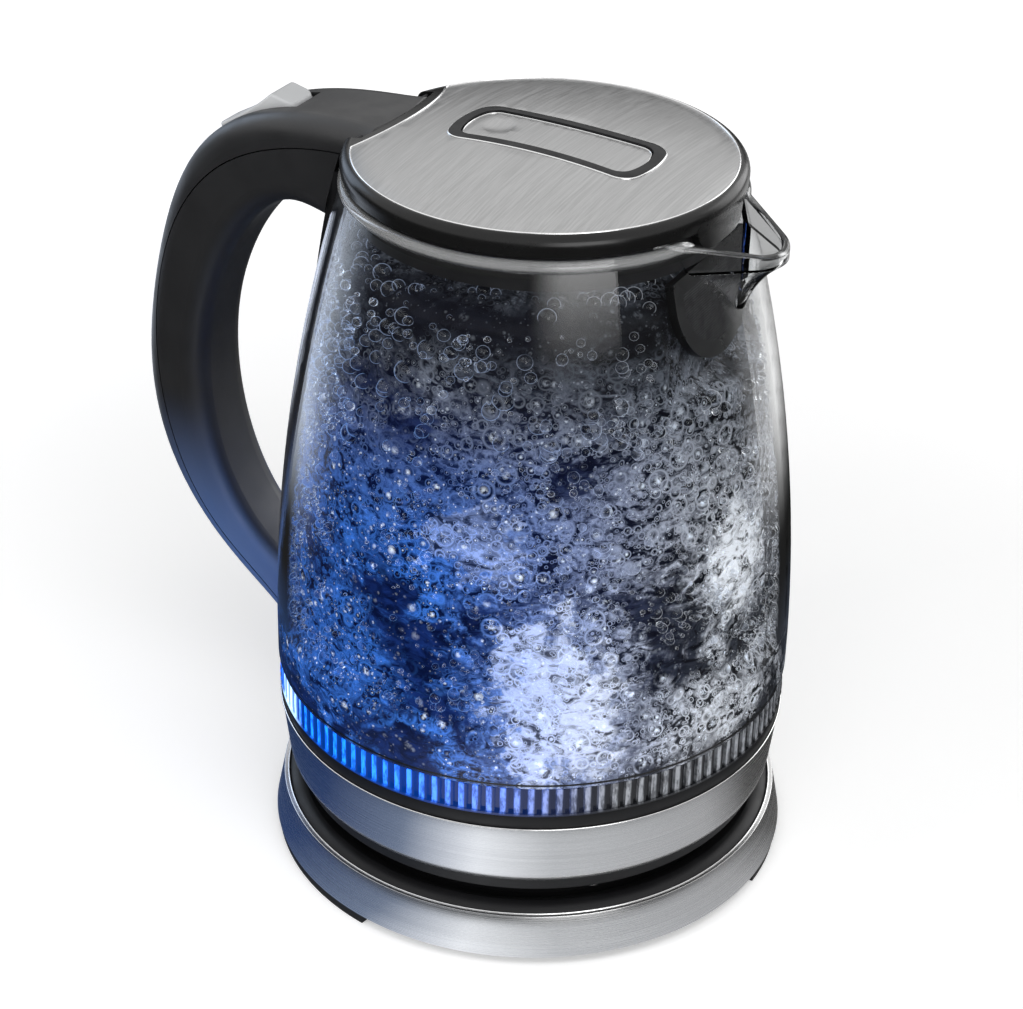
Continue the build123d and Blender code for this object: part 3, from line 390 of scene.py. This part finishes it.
# Where the froth is thick and where it parts: degrees round from the facing side and half
# width, height and half height in metres, how much
FROTH = (
    (6, 19, 0.09, 0.034, 1.0),
    (-13, 19, 0.138, 0.018, 0.85),
    (-26, 8, 0.184, 0.012, 0.9),
    (54, 15, 0.122, 0.022, 0.95),
    (42, 22, 0.077, 0.012, 0.7),
    (-55, 26, 0.15, 0.022, 0.45),
    (-52, 24, 0.092, 0.02, 0.55),
    (38, 24, 0.162, 0.022, 0.7),
    (-2, 24, 0.166, 0.017, 0.6),
    (-4, 44, 0.182, 0.011, 0.5),
)
GAPS = (
    (33, 11, 0.112, 0.02, 0.95),
    (9, 5, 0.158, 0.006, 0.9),
    (-30, 10, 0.103, 0.012, 0.8),
)
# Sizes of the painted bubble outlines, bright as painted highlights, as cells to the metre, and
# where an outline lies in its cell
RING_SCALES = (105, 165, 260, 400, 620)
RING_AT = 0.31
# Heights where the froth's belt begins and ends, where froth fades into painted shade below the
# lid, and where the top begins
BELT_LOW, BELT_TOP = (0.118, 0.135), (0.15, 0.172)
TOP_SHADE_Z = (0.172, 0.199)
CROWN_Z = (0.2, 0.2045)
# The water's colours: in plain light, painted in the ring's blue glow, painted in shade high up,
# and painted glints
DARK, RING_GLOW_DARK = (0.0035, 0.0036, 0.004), (0.0006, 0.003, 0.022)
HAZE, RING_GLOW_HAZE = (0.03, 0.033, 0.038), (0.006, 0.022, 0.125)
LIGHT, RING_GLOW_LIGHT = (0.88, 0.91, 0.95), (0.06, 0.26, 0.95)
SHADED_HIGH_FROTH = (0.24, 0.27, 0.33)
GLINT_PAINT = (0.8, 0.88, 1.0)


def boil_shader(name):
    """The churned water: dark gaps and froth, with painted highlights on the bubbles' outlines and
    painted glints, the ring's blue glow painted low on the handle's side, its own painted glow, and
    painted shade towards the top.
    """
    s = Shader(name)
    here = s.place()
    height = s.axes(here)[2]
    turn = s.turn(here)
    churn = s.noise(s.scaled(here, (1, 1, 1.3)), 52, 5, 0.6, 0.9)
    swirl = s.noise(s.scaled(here, (1, 1, 1.7)), 150, 5, 0.6, 1.2)
    fine = s.noise(here, 700, 4, 0.7, 0.3)
    ragged = s.math("SUBTRACT", s.math("ADD", churn, s.times(swirl, 0.6)), 0.8)
    ragged = s.times(ragged, 3.2)

    def patch(at, wide, middle, tall):
        """A ragged patch of froth, by its place round the jug and its height."""
        across = s.math("DIVIDE", s.math("SUBTRACT", turn, at), wide)
        up = s.math("DIVIDE", s.math("SUBTRACT", height, middle), tall)
        return s.span(s.math("ADD", s.squares(across, up), ragged), 0.3, 1.3, 1.0, 0.0)

    # Bubble outlines painted bright as highlights, a painted glint in the middle, and the domes
    # inside them
    away = [s.cells(here, scale) for scale in RING_SCALES]
    edges = [s.math("ABSOLUTE", s.math("SUBTRACT", a, RING_AT)) for a in away]
    rim_highlights = s.most(*[s.times(s.peak(edge, 15.0), 0.75) for edge in edges])
    glints = s.most(*[s.peak(a, 6.0) for a in away])
    domes = s.most(*[s.peak(a, 3.2) for a in away])

    # How thick the froth lies
    belt = s.times(s.span(height, *BELT_LOW), s.span(height, *BELT_TOP, 1.0, 0.0))
    thick = s.most(s.times(s.span(churn, 0.46, 0.62), 0.6), s.times(belt, 0.5))
    for *where, much in FROTH:
        thick = s.most(thick, s.times(patch(*where), much))
    for *where, much in GAPS:
        thick = s.times(thick, s.left(s.times(patch(*where), much)))
    # Painted shade below the lid: the froth fades out towards the top
    thick = s.times(thick, s.span(height, *TOP_SHADE_Z, 1.0, 0.05))
    crown = s.times(s.span(height, *CROWN_Z), s.span(churn, 0.42, 0.62, 0.15, 0.75))
    thick = s.most(thick, crown)

    # How pale it is
    grain = s.times(s.span(swirl, 0.42, 0.64), s.span(fine, 0.36, 0.6, 0.35, 1.0), 0.85)
    solid = s.times(s.span(thick, 0.7, 1.0), s.span(swirl, 0.36, 0.56, 0.05, 0.7))
    pale = s.most(s.times(thick, s.most(grain, rim_highlights)), solid)
    # Painted glints on the froth, dimmer higher up
    glint_paint = s.times(glints, s.span(fine, 0.4, 0.55), s.span(thick, 0.05, 0.5, 0.25, 1.0))
    glint_paint = s.times(glint_paint, s.span(height, 0.15, 0.195, 0.9, 0.4))

    # Colours, with the ring's blue glow painted low on the handle's side, and painted shade below
    # the lid that darkens them towards the top
    blue = s.span(s.along(here, BLUE_SIDE), -0.054, 0.036, 0.06, 1.0)
    blue = s.times(blue, s.span(height, 0.155, 0.192, 1.0, 0.15))
    veil = s.times(s.span(swirl, 0.35, 0.7), s.span(height, 0.165, 0.2, 0.75, 0.1))
    dark = s.mix(veil, s.mix(blue, DARK, RING_GLOW_DARK), s.mix(blue, HAZE, RING_GLOW_HAZE))
    tint = s.times(blue, s.span(thick, 0.6, 1.0, 1.0, 0.6))
    light = s.mix(tint, LIGHT, RING_GLOW_LIGHT)
    # Painted shade: the froth is dimmer high up
    light = s.mix(s.span(height, 0.125, 0.19, 1.0, 0.0), SHADED_HIGH_FROTH, light)
    colour = s.mix(glint_paint, s.mix(pale, dark, light), GLINT_PAINT)
    s.set(Base_Color=colour, Roughness=0.2, IOR=1.33, Specular_IOR_Level=0.12)
    # The water's painted glow, in its own colour, stronger low down near the ring
    s.set(Emission_Color=colour, Emission_Strength=s.span(height, 0.11, 0.18, 1.0, 0.4))
    s.bump(s.times(s.math("ADD", swirl, domes), thick), 0.45, 0.0007)
    return s.mat


black = plastic("black_plastic", (0.006, 0.006, 0.007), (0.013, 0.013, 0.014), 0.36)
deck_black = plastic("deck_plastic", (0.005, 0.005, 0.006), (0.011, 0.011, 0.012), 0.42)
gloss = plastic("gloss_plastic", grey(0.004), grey(0.008), 0.24, coat=0.1)
# The handle's plastic carries the ring's painted blue glow
grip = plastic(
    "grip_plastic", (0.01, 0.01, 0.011), (0.019, 0.019, 0.02), 0.42, blue=0.9, sheen=0.7
)
inner = plastic("inner_plastic", (0.008, 0.008, 0.009), (0.018, 0.018, 0.02), 0.5)
filter_black = plastic(
    "filter_plastic", (0.002, 0.002, 0.0025), (0.005, 0.005, 0.0055), 0.3, sheen=0.15
)
rubber = plastic("rubber", grey(0.008), grey(0.02), 0.75, grain=1500, lift=0.5)
board = plastic("board", (0.01, 0.06, 0.025), (0.02, 0.1, 0.045), 0.45, grain=1200)
silver = plastic("silver_plastic", (0.5, 0.51, 0.52), (0.62, 0.63, 0.64), 0.34, grain=3600)
# The band and the trim ring carry the painted blue reflection, by the last number
band_steel = brushed_round("band_steel", 0.72, 0.25, 0.25)
ring_steel = brushed_round("ring_steel", 0.72, 0.25, 0.15)
lid_steel = brushed_straight("lid_steel", 0.46, 0.34)
plate_steel = metal("plate_steel", (0.55, 0.55, 0.54), 0.32)
screw_steel = metal("screw_steel", grey(0.5), 0.3, 500)
# Near-black steel, used for the hinge pin: painted shade, which keeps the pin dark in the hinge gap
dark_steel = metal("dark_steel", (0.03, 0.03, 0.032), 0.4, 500)
brass = metal("brass", (0.72, 0.5, 0.2), 0.3, 400)
aluminium = metal("aluminium", (0.66, 0.66, 0.67), 0.45, 200)
# Pale polished steel for the beads that draw painted highlight lines on edges
highlight_steel = metal("highlight_steel", grey(0.94), 0.2, 300)
glass = glass_shader("glass", (0.95, 0.96, 0.965), 1.47, 0.05)
bubble_glass = bubble_shader("bubble")
ring_clear = light_ring_shader("light_ring")
lamp = lamp_shader("lamp")
weave = mesh_shader("weave")
boil = boil_shader("boil")

finish = {
    "base_trim_ring": ring_steel,
    "steel_band": band_steel,
    "lid_plate": lid_steel,
    "press_strip": lid_steel,
    "base_top_cover": deck_black,
    "base_floor": black,
    "base_turret": black,
    "chassis": deck_black,
    "bottom_cover": black,
    "upper_mount": black,
    "lower_mount": black,
    "lid_rim": gloss,
    "press_tray": deck_black,
    "handle_cap": grip,
    "handle_shell": grip,
    "lid_pan": inner,
    "control_unit": inner,
    "steam_control": inner,
    "lid_seal": rubber,
    "jug_seal": rubber,
    "base_feet": rubber,
    "cord_gland": rubber,
    "base_contacts": brass,
    "coupler_contacts": brass,
    "heating_plate": plate_steel,
    "heat_spreader": aluminium,
    "element_ring": aluminium,
    "light_ring": ring_clear,
    "led_board": board,
    "leds": lamp,
    "switch_lever": silver,
    "switch_pin": screw_steel,
    "hinge_pin": dark_steel,
    "strip_pin": screw_steel,
    "base_screws": screw_steel,
    "kettle_screws": screw_steel,
    "handle_screws": screw_steel,
    "filter_frame": filter_black,
    "filter_mesh": weave,
    "glass_jug": glass,
}
for name, obj in nodes.items():
    obj.data.materials.clear()
    obj.data.materials.append(finish[name])

# Edges that catch the light, by the width of their bevel
soft_edges = {
    "lid_plate": 0.0005,
    "press_strip": 0.0004,
    "press_tray": 0.0004,
    "steel_band": 0.0005,
    "base_trim_ring": 0.0005,
    "chassis": 0.0005,
}
for name, width in soft_edges.items():
    weld = nodes[name].modifiers.new("weld", "WELD")
    weld.merge_threshold = 0.00001
    bevel = nodes[name].modifiers.new("bevel", "BEVEL")
    bevel.width = width
    bevel.segments = 2
    bevel.limit_method = "ANGLE"
    bevel.angle_limit = math.radians(40)


def mesh_of(name, verts, faces, material):
    mesh = bpy.data.meshes.new(name)
    mesh.from_pydata(verts, [], faces)
    mesh.materials.append(material)
    return mesh


def linked(name, data):
    obj = bpy.data.objects.new(name, data)
    bpy.context.scene.collection.objects.link(obj)
    return obj


def piece(name, verts, faces, material, body):
    mesh = mesh_of(name, verts, faces, material)
    mesh.polygons.foreach_set("use_smooth", [True] * len(mesh.polygons))
    obj = linked(name, mesh)
    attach(obj, body)


# Polished edge lines, which run along the sharp upper edges of the steel pieces: beads paler than
# the steel, laid there as painted highlight lines
LINE_SIDES = 8
LEAST_CORNERS = 12


def sharp(slopes):
    """Whether an edge's two faces are an upward one and a steep one."""
    if len(slopes) != 2:
        return False
    least, most = min(slopes), max(slopes)
    return most > 0.6 and least < 0.5 and most - least > 0.4


def sharp_loops(node):
    """Closed runs of a node's sharp edges, as lists of places."""
    mesh = nodes[node].data
    spots, corners, sides = {}, [], {}
    for v in mesh.vertices:
        corners.append(spots.setdefault(tuple(round(c, 6) for c in v.co), len(spots)))
    for face in mesh.polygons:
        ring = [corners[i] for i in face.vertices]
        for a, b in zip(ring, ring[1:] + ring[:1]):
            if a != b:
                sides.setdefault((min(a, b), max(a, b)), []).append(face.normal.z)
    links = {}
    for (a, b), slopes in sides.items():
        if sharp(slopes):
            links.setdefault(a, []).append(b)
            links.setdefault(b, []).append(a)
    places = [Vector(spot) for spot in spots]
    loops = []
    while links:
        run, here = [], next(iter(links))
        while here in links:
            run.append(here)
            onward = [n for n in links.pop(here) if n in links]
            here = onward[0] if onward else None
        if len(run) > LEAST_CORNERS:
            loops.append([places[i] for i in run])
    return loops


def highlight_line(name, node, body, thick, least=0.0, most=1.0):
    """A fine round bead along a node's sharp loops whose width along X is in the range, pale to
    give a painted highlight line.
    """
    verts, faces = [], []
    for loop in sharp_loops(node):
        if not least < max(p.x for p in loop) - min(p.x for p in loop) < most:
            continue
        base, count = len(verts), len(loop)
        for i, at in enumerate(loop):
            along = (loop[(i + 1) % count] - loop[i - 1]).normalized()
            out = along.cross(Vector((0, 0, 1))).normalized()
            over = out.cross(along)
            for k in range(LINE_SIDES):
                turn = 2 * math.pi * k / LINE_SIDES
                verts.append(at + (out * math.cos(turn) + over * math.sin(turn)) * thick)
        for i in range(count):
            here, there = base + i * LINE_SIDES, base + (i + 1) % count * LINE_SIDES
            for k in range(LINE_SIDES):
                n = (k + 1) % LINE_SIDES
                faces.append((here + k, there + k, there + n, here + n))
    piece(name, verts, faces, highlight_steel, body)


highlight_line("plate_edge", "lid_plate", "lid", 0.0003)
highlight_line("strip_edge", "press_strip", "press_strip", 0.00018, least=0.03)
highlight_line("band_edge", "steel_band", "kettle", 0.00032, least=0.155)
highlight_line("ring_edge", "base_trim_ring", "power_base", 0.0003, least=0.14, most=0.154)

# Water: a churned body just inside the glass, with a domed top. Low down it wets the glass,
# because a gap of air there would mirror the black foot.
WATER_RINGS = 130
WATER_SIDES = 200
WATER_LOW_Z = 0.0643
WATER_TOP_Z = 0.2068
SHOULDER_Z = 0.197
DOME = 0.9
WET_Z = 0.0775
WET_FADE = 0.006
WET_IN = 0.0004
WET_WAVE = 0.002
SKIN_GAP = 0.0023
UPPER_GAP = 0.0006
UPPER_Z = 0.145
UPPER_FADE = 0.03
SWELL = 0.0006


def pour_water():
    verts, faces = [], []
    for i in range(WATER_RINGS + 1):
        z = WATER_LOW_Z + (WATER_TOP_Z - WATER_LOW_Z) * (i / WATER_RINGS)
        slim = 1.0
        if z > SHOULDER_Z:
            slim = math.sqrt(1 - ((z - SHOULDER_Z) / (WATER_TOP_Z - SHOULDER_Z)) ** 2 * DOME)
        gap = SKIN_GAP + UPPER_GAP * held((z - UPPER_Z) / UPPER_FADE)
        for k in range(WATER_SIDES):
            a = 2 * math.pi * k / WATER_SIDES
            wave = noise.fractal(polar(1, a, z * 14) * 3.0, 0.9, 2.1, 5)
            dry = held((z - WET_Z + WET_WAVE * wave) / WET_FADE)
            r = (jug_r(z) - GLASS + WET_IN - (WET_IN + gap - SWELL * wave) * dry) * slim
            verts.append(polar(min(r, filter_x(z) / max(math.cos(a), 0.01)), a, z))
    for i in range(WATER_RINGS):
        here, over = i * WATER_SIDES, (i + 1) * WATER_SIDES
        for k in range(WATER_SIDES):
            n = (k + 1) % WATER_SIDES
            faces.append((here + k, here + n, over + n, over + k))
    faces.append(tuple(reversed(range(WATER_SIDES))))
    faces.append(tuple(WATER_RINGS * WATER_SIDES + k for k in range(WATER_SIDES)))
    piece("water", verts, faces, boil, "kettle")


pour_water()

# Bubbles: at the skin of the water and afloat on its top, thick in drifts and sparse in the gaps
TRIES = 40
BUBBLE_GAP = 0.0005
BUBBLE_DEPTH = 0.0008
LID_GAP = 0.0005
LID_ROOM = 1.05
GLASS_GAP = 0.0003
SUNK = 0.9
FLATNESS = (0.82, 1.05)
TOP_SHARE = 0.985
DRIFT = 0.35


def ball(subdivisions):
    bm = bmesh.new()
    bmesh.ops.create_icosphere(bm, subdivisions=subdivisions, radius=1.0)
    verts = [v.co.copy() for v in bm.verts]
    bm.verts.index_update()
    faces = [tuple(v.index for v in f.verts) for f in bm.faces]
    bm.free()
    return verts, faces


def crowd(at, least, gain):
    """The chance of a bubble at a spot of the noise that makes the drifts."""
    drift = 0.5 + noise.fractal(at, 0.9, 2.0, 3)
    return least + max(0.0, drift - DRIFT) * gain


def foam(name, count, subdivisions, draw):
    """One piece of bubbles. Each draw gives centre, radius and flatness, or None for no bubble."""
    shape, tris = ball(subdivisions)
    verts, faces = [], []
    made = tries = 0
    while made < count and tries < count * TRIES:
        tries += 1
        spot = draw()
        if spot is None:
            continue
        centre, r, tall = spot
        base = len(verts)
        verts.extend(centre + Vector((p.x, p.y, p.z * tall)) * r for p in shape)
        faces.extend(tuple(i + base for i in tri) for tri in tris)
        made += 1
    piece(name, verts, faces, bubble_glass, "kettle")


def skin_bubbles(name, count, small, large, subdivisions, seed, low, high):
    rng = random.Random(seed)

    def draw():
        a = rng.uniform(-math.pi, math.pi)
        z = rng.uniform(low, high)
        r = small * (large / small) ** (rng.random() ** 1.6)
        depth = rng.random() * BUBBLE_DEPTH
        if rng.random() > crowd(polar(2.2, a, z * 30), 0.15, 2.0):
            return None
        radius = inner_r(z) - BUBBLE_GAP - r * SUNK - depth
        if radius * math.cos(a) + r > filter_x(z):
            return None
        return polar(radius, a, z), r, rng.uniform(*FLATNESS)

    foam(name, count, subdivisions, draw)


def floating_bubbles(name, count, small, large, subdivisions, seed):
    """Bubbles on the water's domed top, clear of the lid above."""
    rng = random.Random(seed)

    def draw():
        a = rng.uniform(-math.pi, math.pi)
        share = TOP_SHARE * math.sqrt(rng.random())
        rise = min(1.0, math.sqrt((1 - share**2) / DOME))
        z = SHOULDER_Z + (WATER_TOP_Z - SHOULDER_Z) * rise
        r = small * (large / small) ** (rng.random() ** 1.4)
        r = min(r, (LID_PAN_Z - LID_GAP - z) / LID_ROOM)
        radius = (jug_r(z) - GLASS - SKIN_GAP - UPPER_GAP) * share
        if rng.random() > crowd(polar(1, a, share) * share * 3.0, 0.12, 2.2):
            return None
        if radius * math.cos(a) + r > filter_x(z) or radius + r > jug_r(z) - GLASS - GLASS_GAP:
            return None
        return polar(radius, a, z), r, 1.0

    foam(name, count, subdivisions, draw)


skin_bubbles("bubbles_large", 220, 0.0018, 0.0034, 3, 3, 0.075, 0.195)
skin_bubbles("bubbles_middle", 1100, 0.001, 0.0019, 2, 5, 0.07, 0.197)
skin_bubbles("bubbles_upper", 240, 0.0012, 0.003, 3, 11, 0.165, 0.196)
skin_bubbles("bubbles_small", 2200, 0.0004, 0.0009, 2, 8, 0.068, 0.198)
floating_bubbles("bubbles_top", 420, 0.0006, 0.0026, 3, 17)

# Camera as the photograph was taken: metres, radians, focal length in the photograph's pixels
CAMERA_AWAY, CAMERA_HIGH, CAMERA_BASE = 0.6762672, 0.5138997, 0.0025
YAW, PITCH, ROLL = -0.0107, 0.5398, 0.0217
FOCAL, PHOTO_WIDE = 2623.4645, 1023
KETTLE_TURN = 28


def aim_camera():
    turn = Matrix.Rotation(math.radians(KETTLE_TURN), 3, "Z")
    level, down = math.cos(PITCH), math.sin(PITCH)
    ahead = Vector((math.sin(YAW) * level, math.cos(YAW) * level, -down))
    right = Vector((math.cos(YAW), -math.sin(YAW), 0))
    over = right.cross(ahead)
    side = right * math.cos(ROLL) + over * math.sin(ROLL)
    head = over * math.cos(ROLL) - right * math.sin(ROLL)
    rows = Matrix((side, head, -ahead)).transposed()
    data = bpy.data.cameras.new("camera")
    data.sensor_fit = "HORIZONTAL"
    data.sensor_width = 36
    data.lens = FOCAL / PHOTO_WIDE * data.sensor_width
    data.clip_start = 0.01
    data.clip_end = 50
    camera = linked("camera", data)
    camera.matrix_world = (turn @ rows).to_4x4()
    camera.location = turn @ Vector((0, -CAMERA_AWAY, CAMERA_HIGH)) + Vector((0, 0, CAMERA_BASE))
    bpy.context.scene.camera = camera


aim_camera()

# Soft lamps, which neither the camera nor gloss nor glass sees
LAMP_AIM = Vector((0, 0, 0.12))


def spot_at(turn, away, high):
    """A spot by degrees from the facing side, distance and height."""
    return polar(away, math.radians(FACING + turn), high)


def soft_lamp(name, turn, away, high, wide, tall, power):
    data = bpy.data.lights.new(name, "AREA")
    data.shape = "RECTANGLE"
    data.size = wide
    data.size_y = tall
    data.energy = power
    obj = linked(name, data)
    obj.location = spot_at(turn, away, high)
    obj.rotation_euler = (LAMP_AIM - obj.location).to_track_quat("-Z", "Y").to_euler()
    obj.visible_camera = False
    obj.visible_glossy = False
    obj.visible_transmission = False


soft_lamp("left_box", -62, 1.25, 0.7, 0.25, 0.9, 3.4)
soft_lamp("wide_box", 24, 1.3, 0.55, 0.9, 0.8, 5.0)
soft_lamp("front_box", 6, 0.62, 1.25, 1.0, 0.6, 5.5)

# Cards that only gloss and glass see, so that steel and glass have depth: a dim curtain round
# the table, a cloth on it that is bright close to the base, and three windows
CARD_SIDES = 64
CARD_FAR = 1.9
CURTAIN_TALL = 1.1
CLOTH_Z = 0.0004
WINDOW_FADE = 0.4
# Distances where the near cloth gives way to the gap, and the gap to the far cloth
NEAR_EDGE, FAR_EDGE = (0.155, 0.21), (0.24, 0.42)
GAP_TONE = grey(0.015)
# Tones round the cloth near the base, by degrees from the facing side
CLOTH = (
    (-180, (0.08, 0.1, 0.15)),
    (-120, (0.02, 0.04, 0.1)),
    (-75, (0.035, 0.07, 0.19)),
    (-40, (0.24, 0.3, 0.42)),
    (-15, (1.25, 1.28, 1.32)),
    (8, (0.68, 0.7, 0.73)),
    (62, (0.48, 0.485, 0.5)),
    (84, (0.1, 0.1, 0.1)),
    (112, (0.02, 0.02, 0.02)),
    (180, (0.08, 0.1, 0.15)),
)
# The same further out, which glass sees
FAR_CLOTH = (
    (-180, (0.5, 0.5, 0.5)),
    (-150, (0.85, 0.95, 1.15)),
    (-120, (0.9, 1.0, 1.15)),
    (-106, (0.3, 0.34, 0.42)),
    (-95, (0.015, 0.015, 0.015)),
    (100, (0.015, 0.015, 0.015)),
    (118, (0.75, 0.75, 0.75)),
    (136, (1.0, 1.0, 1.0)),
    (155, (0.5, 0.5, 0.5)),
    (180, (0.5, 0.5, 0.5)),
)


def card(name, verts, faces, paint):
    """A glowing stage piece. The paint makes its colour from its own coordinates."""
    s = Shader(name)
    s.set(Base_Color=(0, 0, 0, 1), Roughness=1.0, Specular_IOR_Level=0.0, Emission_Strength=1.0)
    s.set(Emission_Color=paint(s, s.place()))
    obj = linked(name, mesh_of(name, verts, faces, s.mat))
    obj.visible_camera = False
    obj.visible_diffuse = False
    obj.visible_shadow = False


def curtain_tone(s, here):
    cloud = s.mix(s.noise(here, 3, 2), grey(0.035), grey(0.055))
    return s.mix(s.span(s.axes(here)[2], 0.45, 1.0), cloud, grey(1.0))


def cloth_tone(s, here):
    x, y = s.axes(here)[:2]
    away = s.away(x, y)
    share = s.span(s.turn(here), -180, 180, smooth=False)
    near, far = (
        s.ramp(share, *[((at + 180) / 360, tone) for at, tone in tones])
        for tones in (CLOTH, FAR_CLOTH)
    )
    return s.mix(s.span(away, *NEAR_EDGE), near, s.mix(s.span(away, *FAR_EDGE), GAP_TONE, far))


def window(name, turn, away, wide, low, high, bright, tint=(1, 1, 1)):
    """An upright card that fades out downwards and to the left."""

    def paint(s, here):
        most = [bright * c for c in tint]
        cloud = s.mix(s.noise(here, 2, 2), [c * 0.92 for c in most], most)
        across = s.span(s.along(here, FACING + turn + 90), -wide / 2, 0)
        up = s.span(s.axes(here)[2], low, low + WINDOW_FADE)
        return s.mix(s.times(across, up), grey(0.03), cloud)

    middle, side = spot_at(turn, away, 0), spot_at(turn + 90, wide / 2, 0)
    corners = ((-1, low), (1, low), (1, high), (-1, high))
    verts = [middle + side * k + Vector((0, 0, z)) for k, z in corners]
    card(name, verts, [(0, 1, 2, 3)], paint)


def round_cards():
    turns = [2 * math.pi * k / CARD_SIDES for k in range(CARD_SIDES)]
    wall = [polar(CARD_FAR, a, z) for z in (0.0, CURTAIN_TALL) for a in turns]
    ends = [(k, (k + 1) % CARD_SIDES) for k in range(CARD_SIDES)]
    faces = [(a, b, CARD_SIDES + b, CARD_SIDES + a) for a, b in ends]
    card("curtain", wall, faces, curtain_tone)
    cloth = [polar(CARD_FAR, a, CLOTH_Z) for a in turns]
    card("cloth", cloth, [tuple(range(CARD_SIDES))], cloth_tone)


round_cards()
window("window_front", 16, 1.5, 1.3, 0.1, 1.3, 4.2)
window("window_right", 124, 1.5, 1.5, 0.0, 1.2, 3.0)
window("window_left", -140, 1.5, 0.9, 0.0, 1.2, 2.4, (0.7, 0.82, 1.0))

# White surroundings, dimmer as a light than as a background
WORLD_LIGHT = 0.42


def white_world():
    world = bpy.data.worlds.new("world")
    bpy.context.scene.world = world
    world.use_nodes = True
    tree = world.node_tree
    back = tree.nodes["Background"]
    back.inputs["Color"].default_value = (1, 1, 1, 1)
    path = tree.nodes.new("ShaderNodeLightPath")
    seen = path.outputs["Is Camera Ray"]
    for ray in ("Is Glossy Ray", "Is Transmission Ray"):
        most = tree.nodes.new("ShaderNodeMath")
        most.operation = "MAXIMUM"
        tree.links.new(seen, most.inputs[0])
        tree.links.new(path.outputs[ray], most.inputs[1])
        seen = most.outputs[0]
    level = tree.nodes.new("ShaderNodeMapRange")
    tree.links.new(seen, level.inputs["Value"])
    level.inputs["To Min"].default_value = WORLD_LIGHT
    level.inputs["To Max"].default_value = 1.0
    tree.links.new(level.outputs["Result"], back.inputs["Strength"])


white_world()

# Pale floor, brighter away from the kettle so that it runs into the background
FLOOR_HALF = 6
FLOOR_GLOW = (0.34, 0.6)
GLOW_FAR_SQUARED = (0.02, 0.35)


def lay_floor():
    s = Shader("floor")
    here = s.place()
    x, y = s.axes(here)[:2]
    s.set(Base_Color=s.mix(s.noise(here, 9, 4), grey(0.9), grey(0.93)), Roughness=0.7)
    s.set(Emission_Color=(1, 1, 1, 1))
    s.set(Emission_Strength=s.span(s.squares(x, y), *GLOW_FAR_SQUARED, *FLOOR_GLOW))
    corners = [(FLOOR_HALF * x, FLOOR_HALF * y, 0) for x, y in ((-1, -1), (1, -1), (1, 1), (-1, 1))]
    floor = linked("floor", mesh_of("floor", corners, [(0, 1, 2, 3)], s.mat))


lay_floor()

bpy.context.scene.view_settings.view_transform = "Standard"
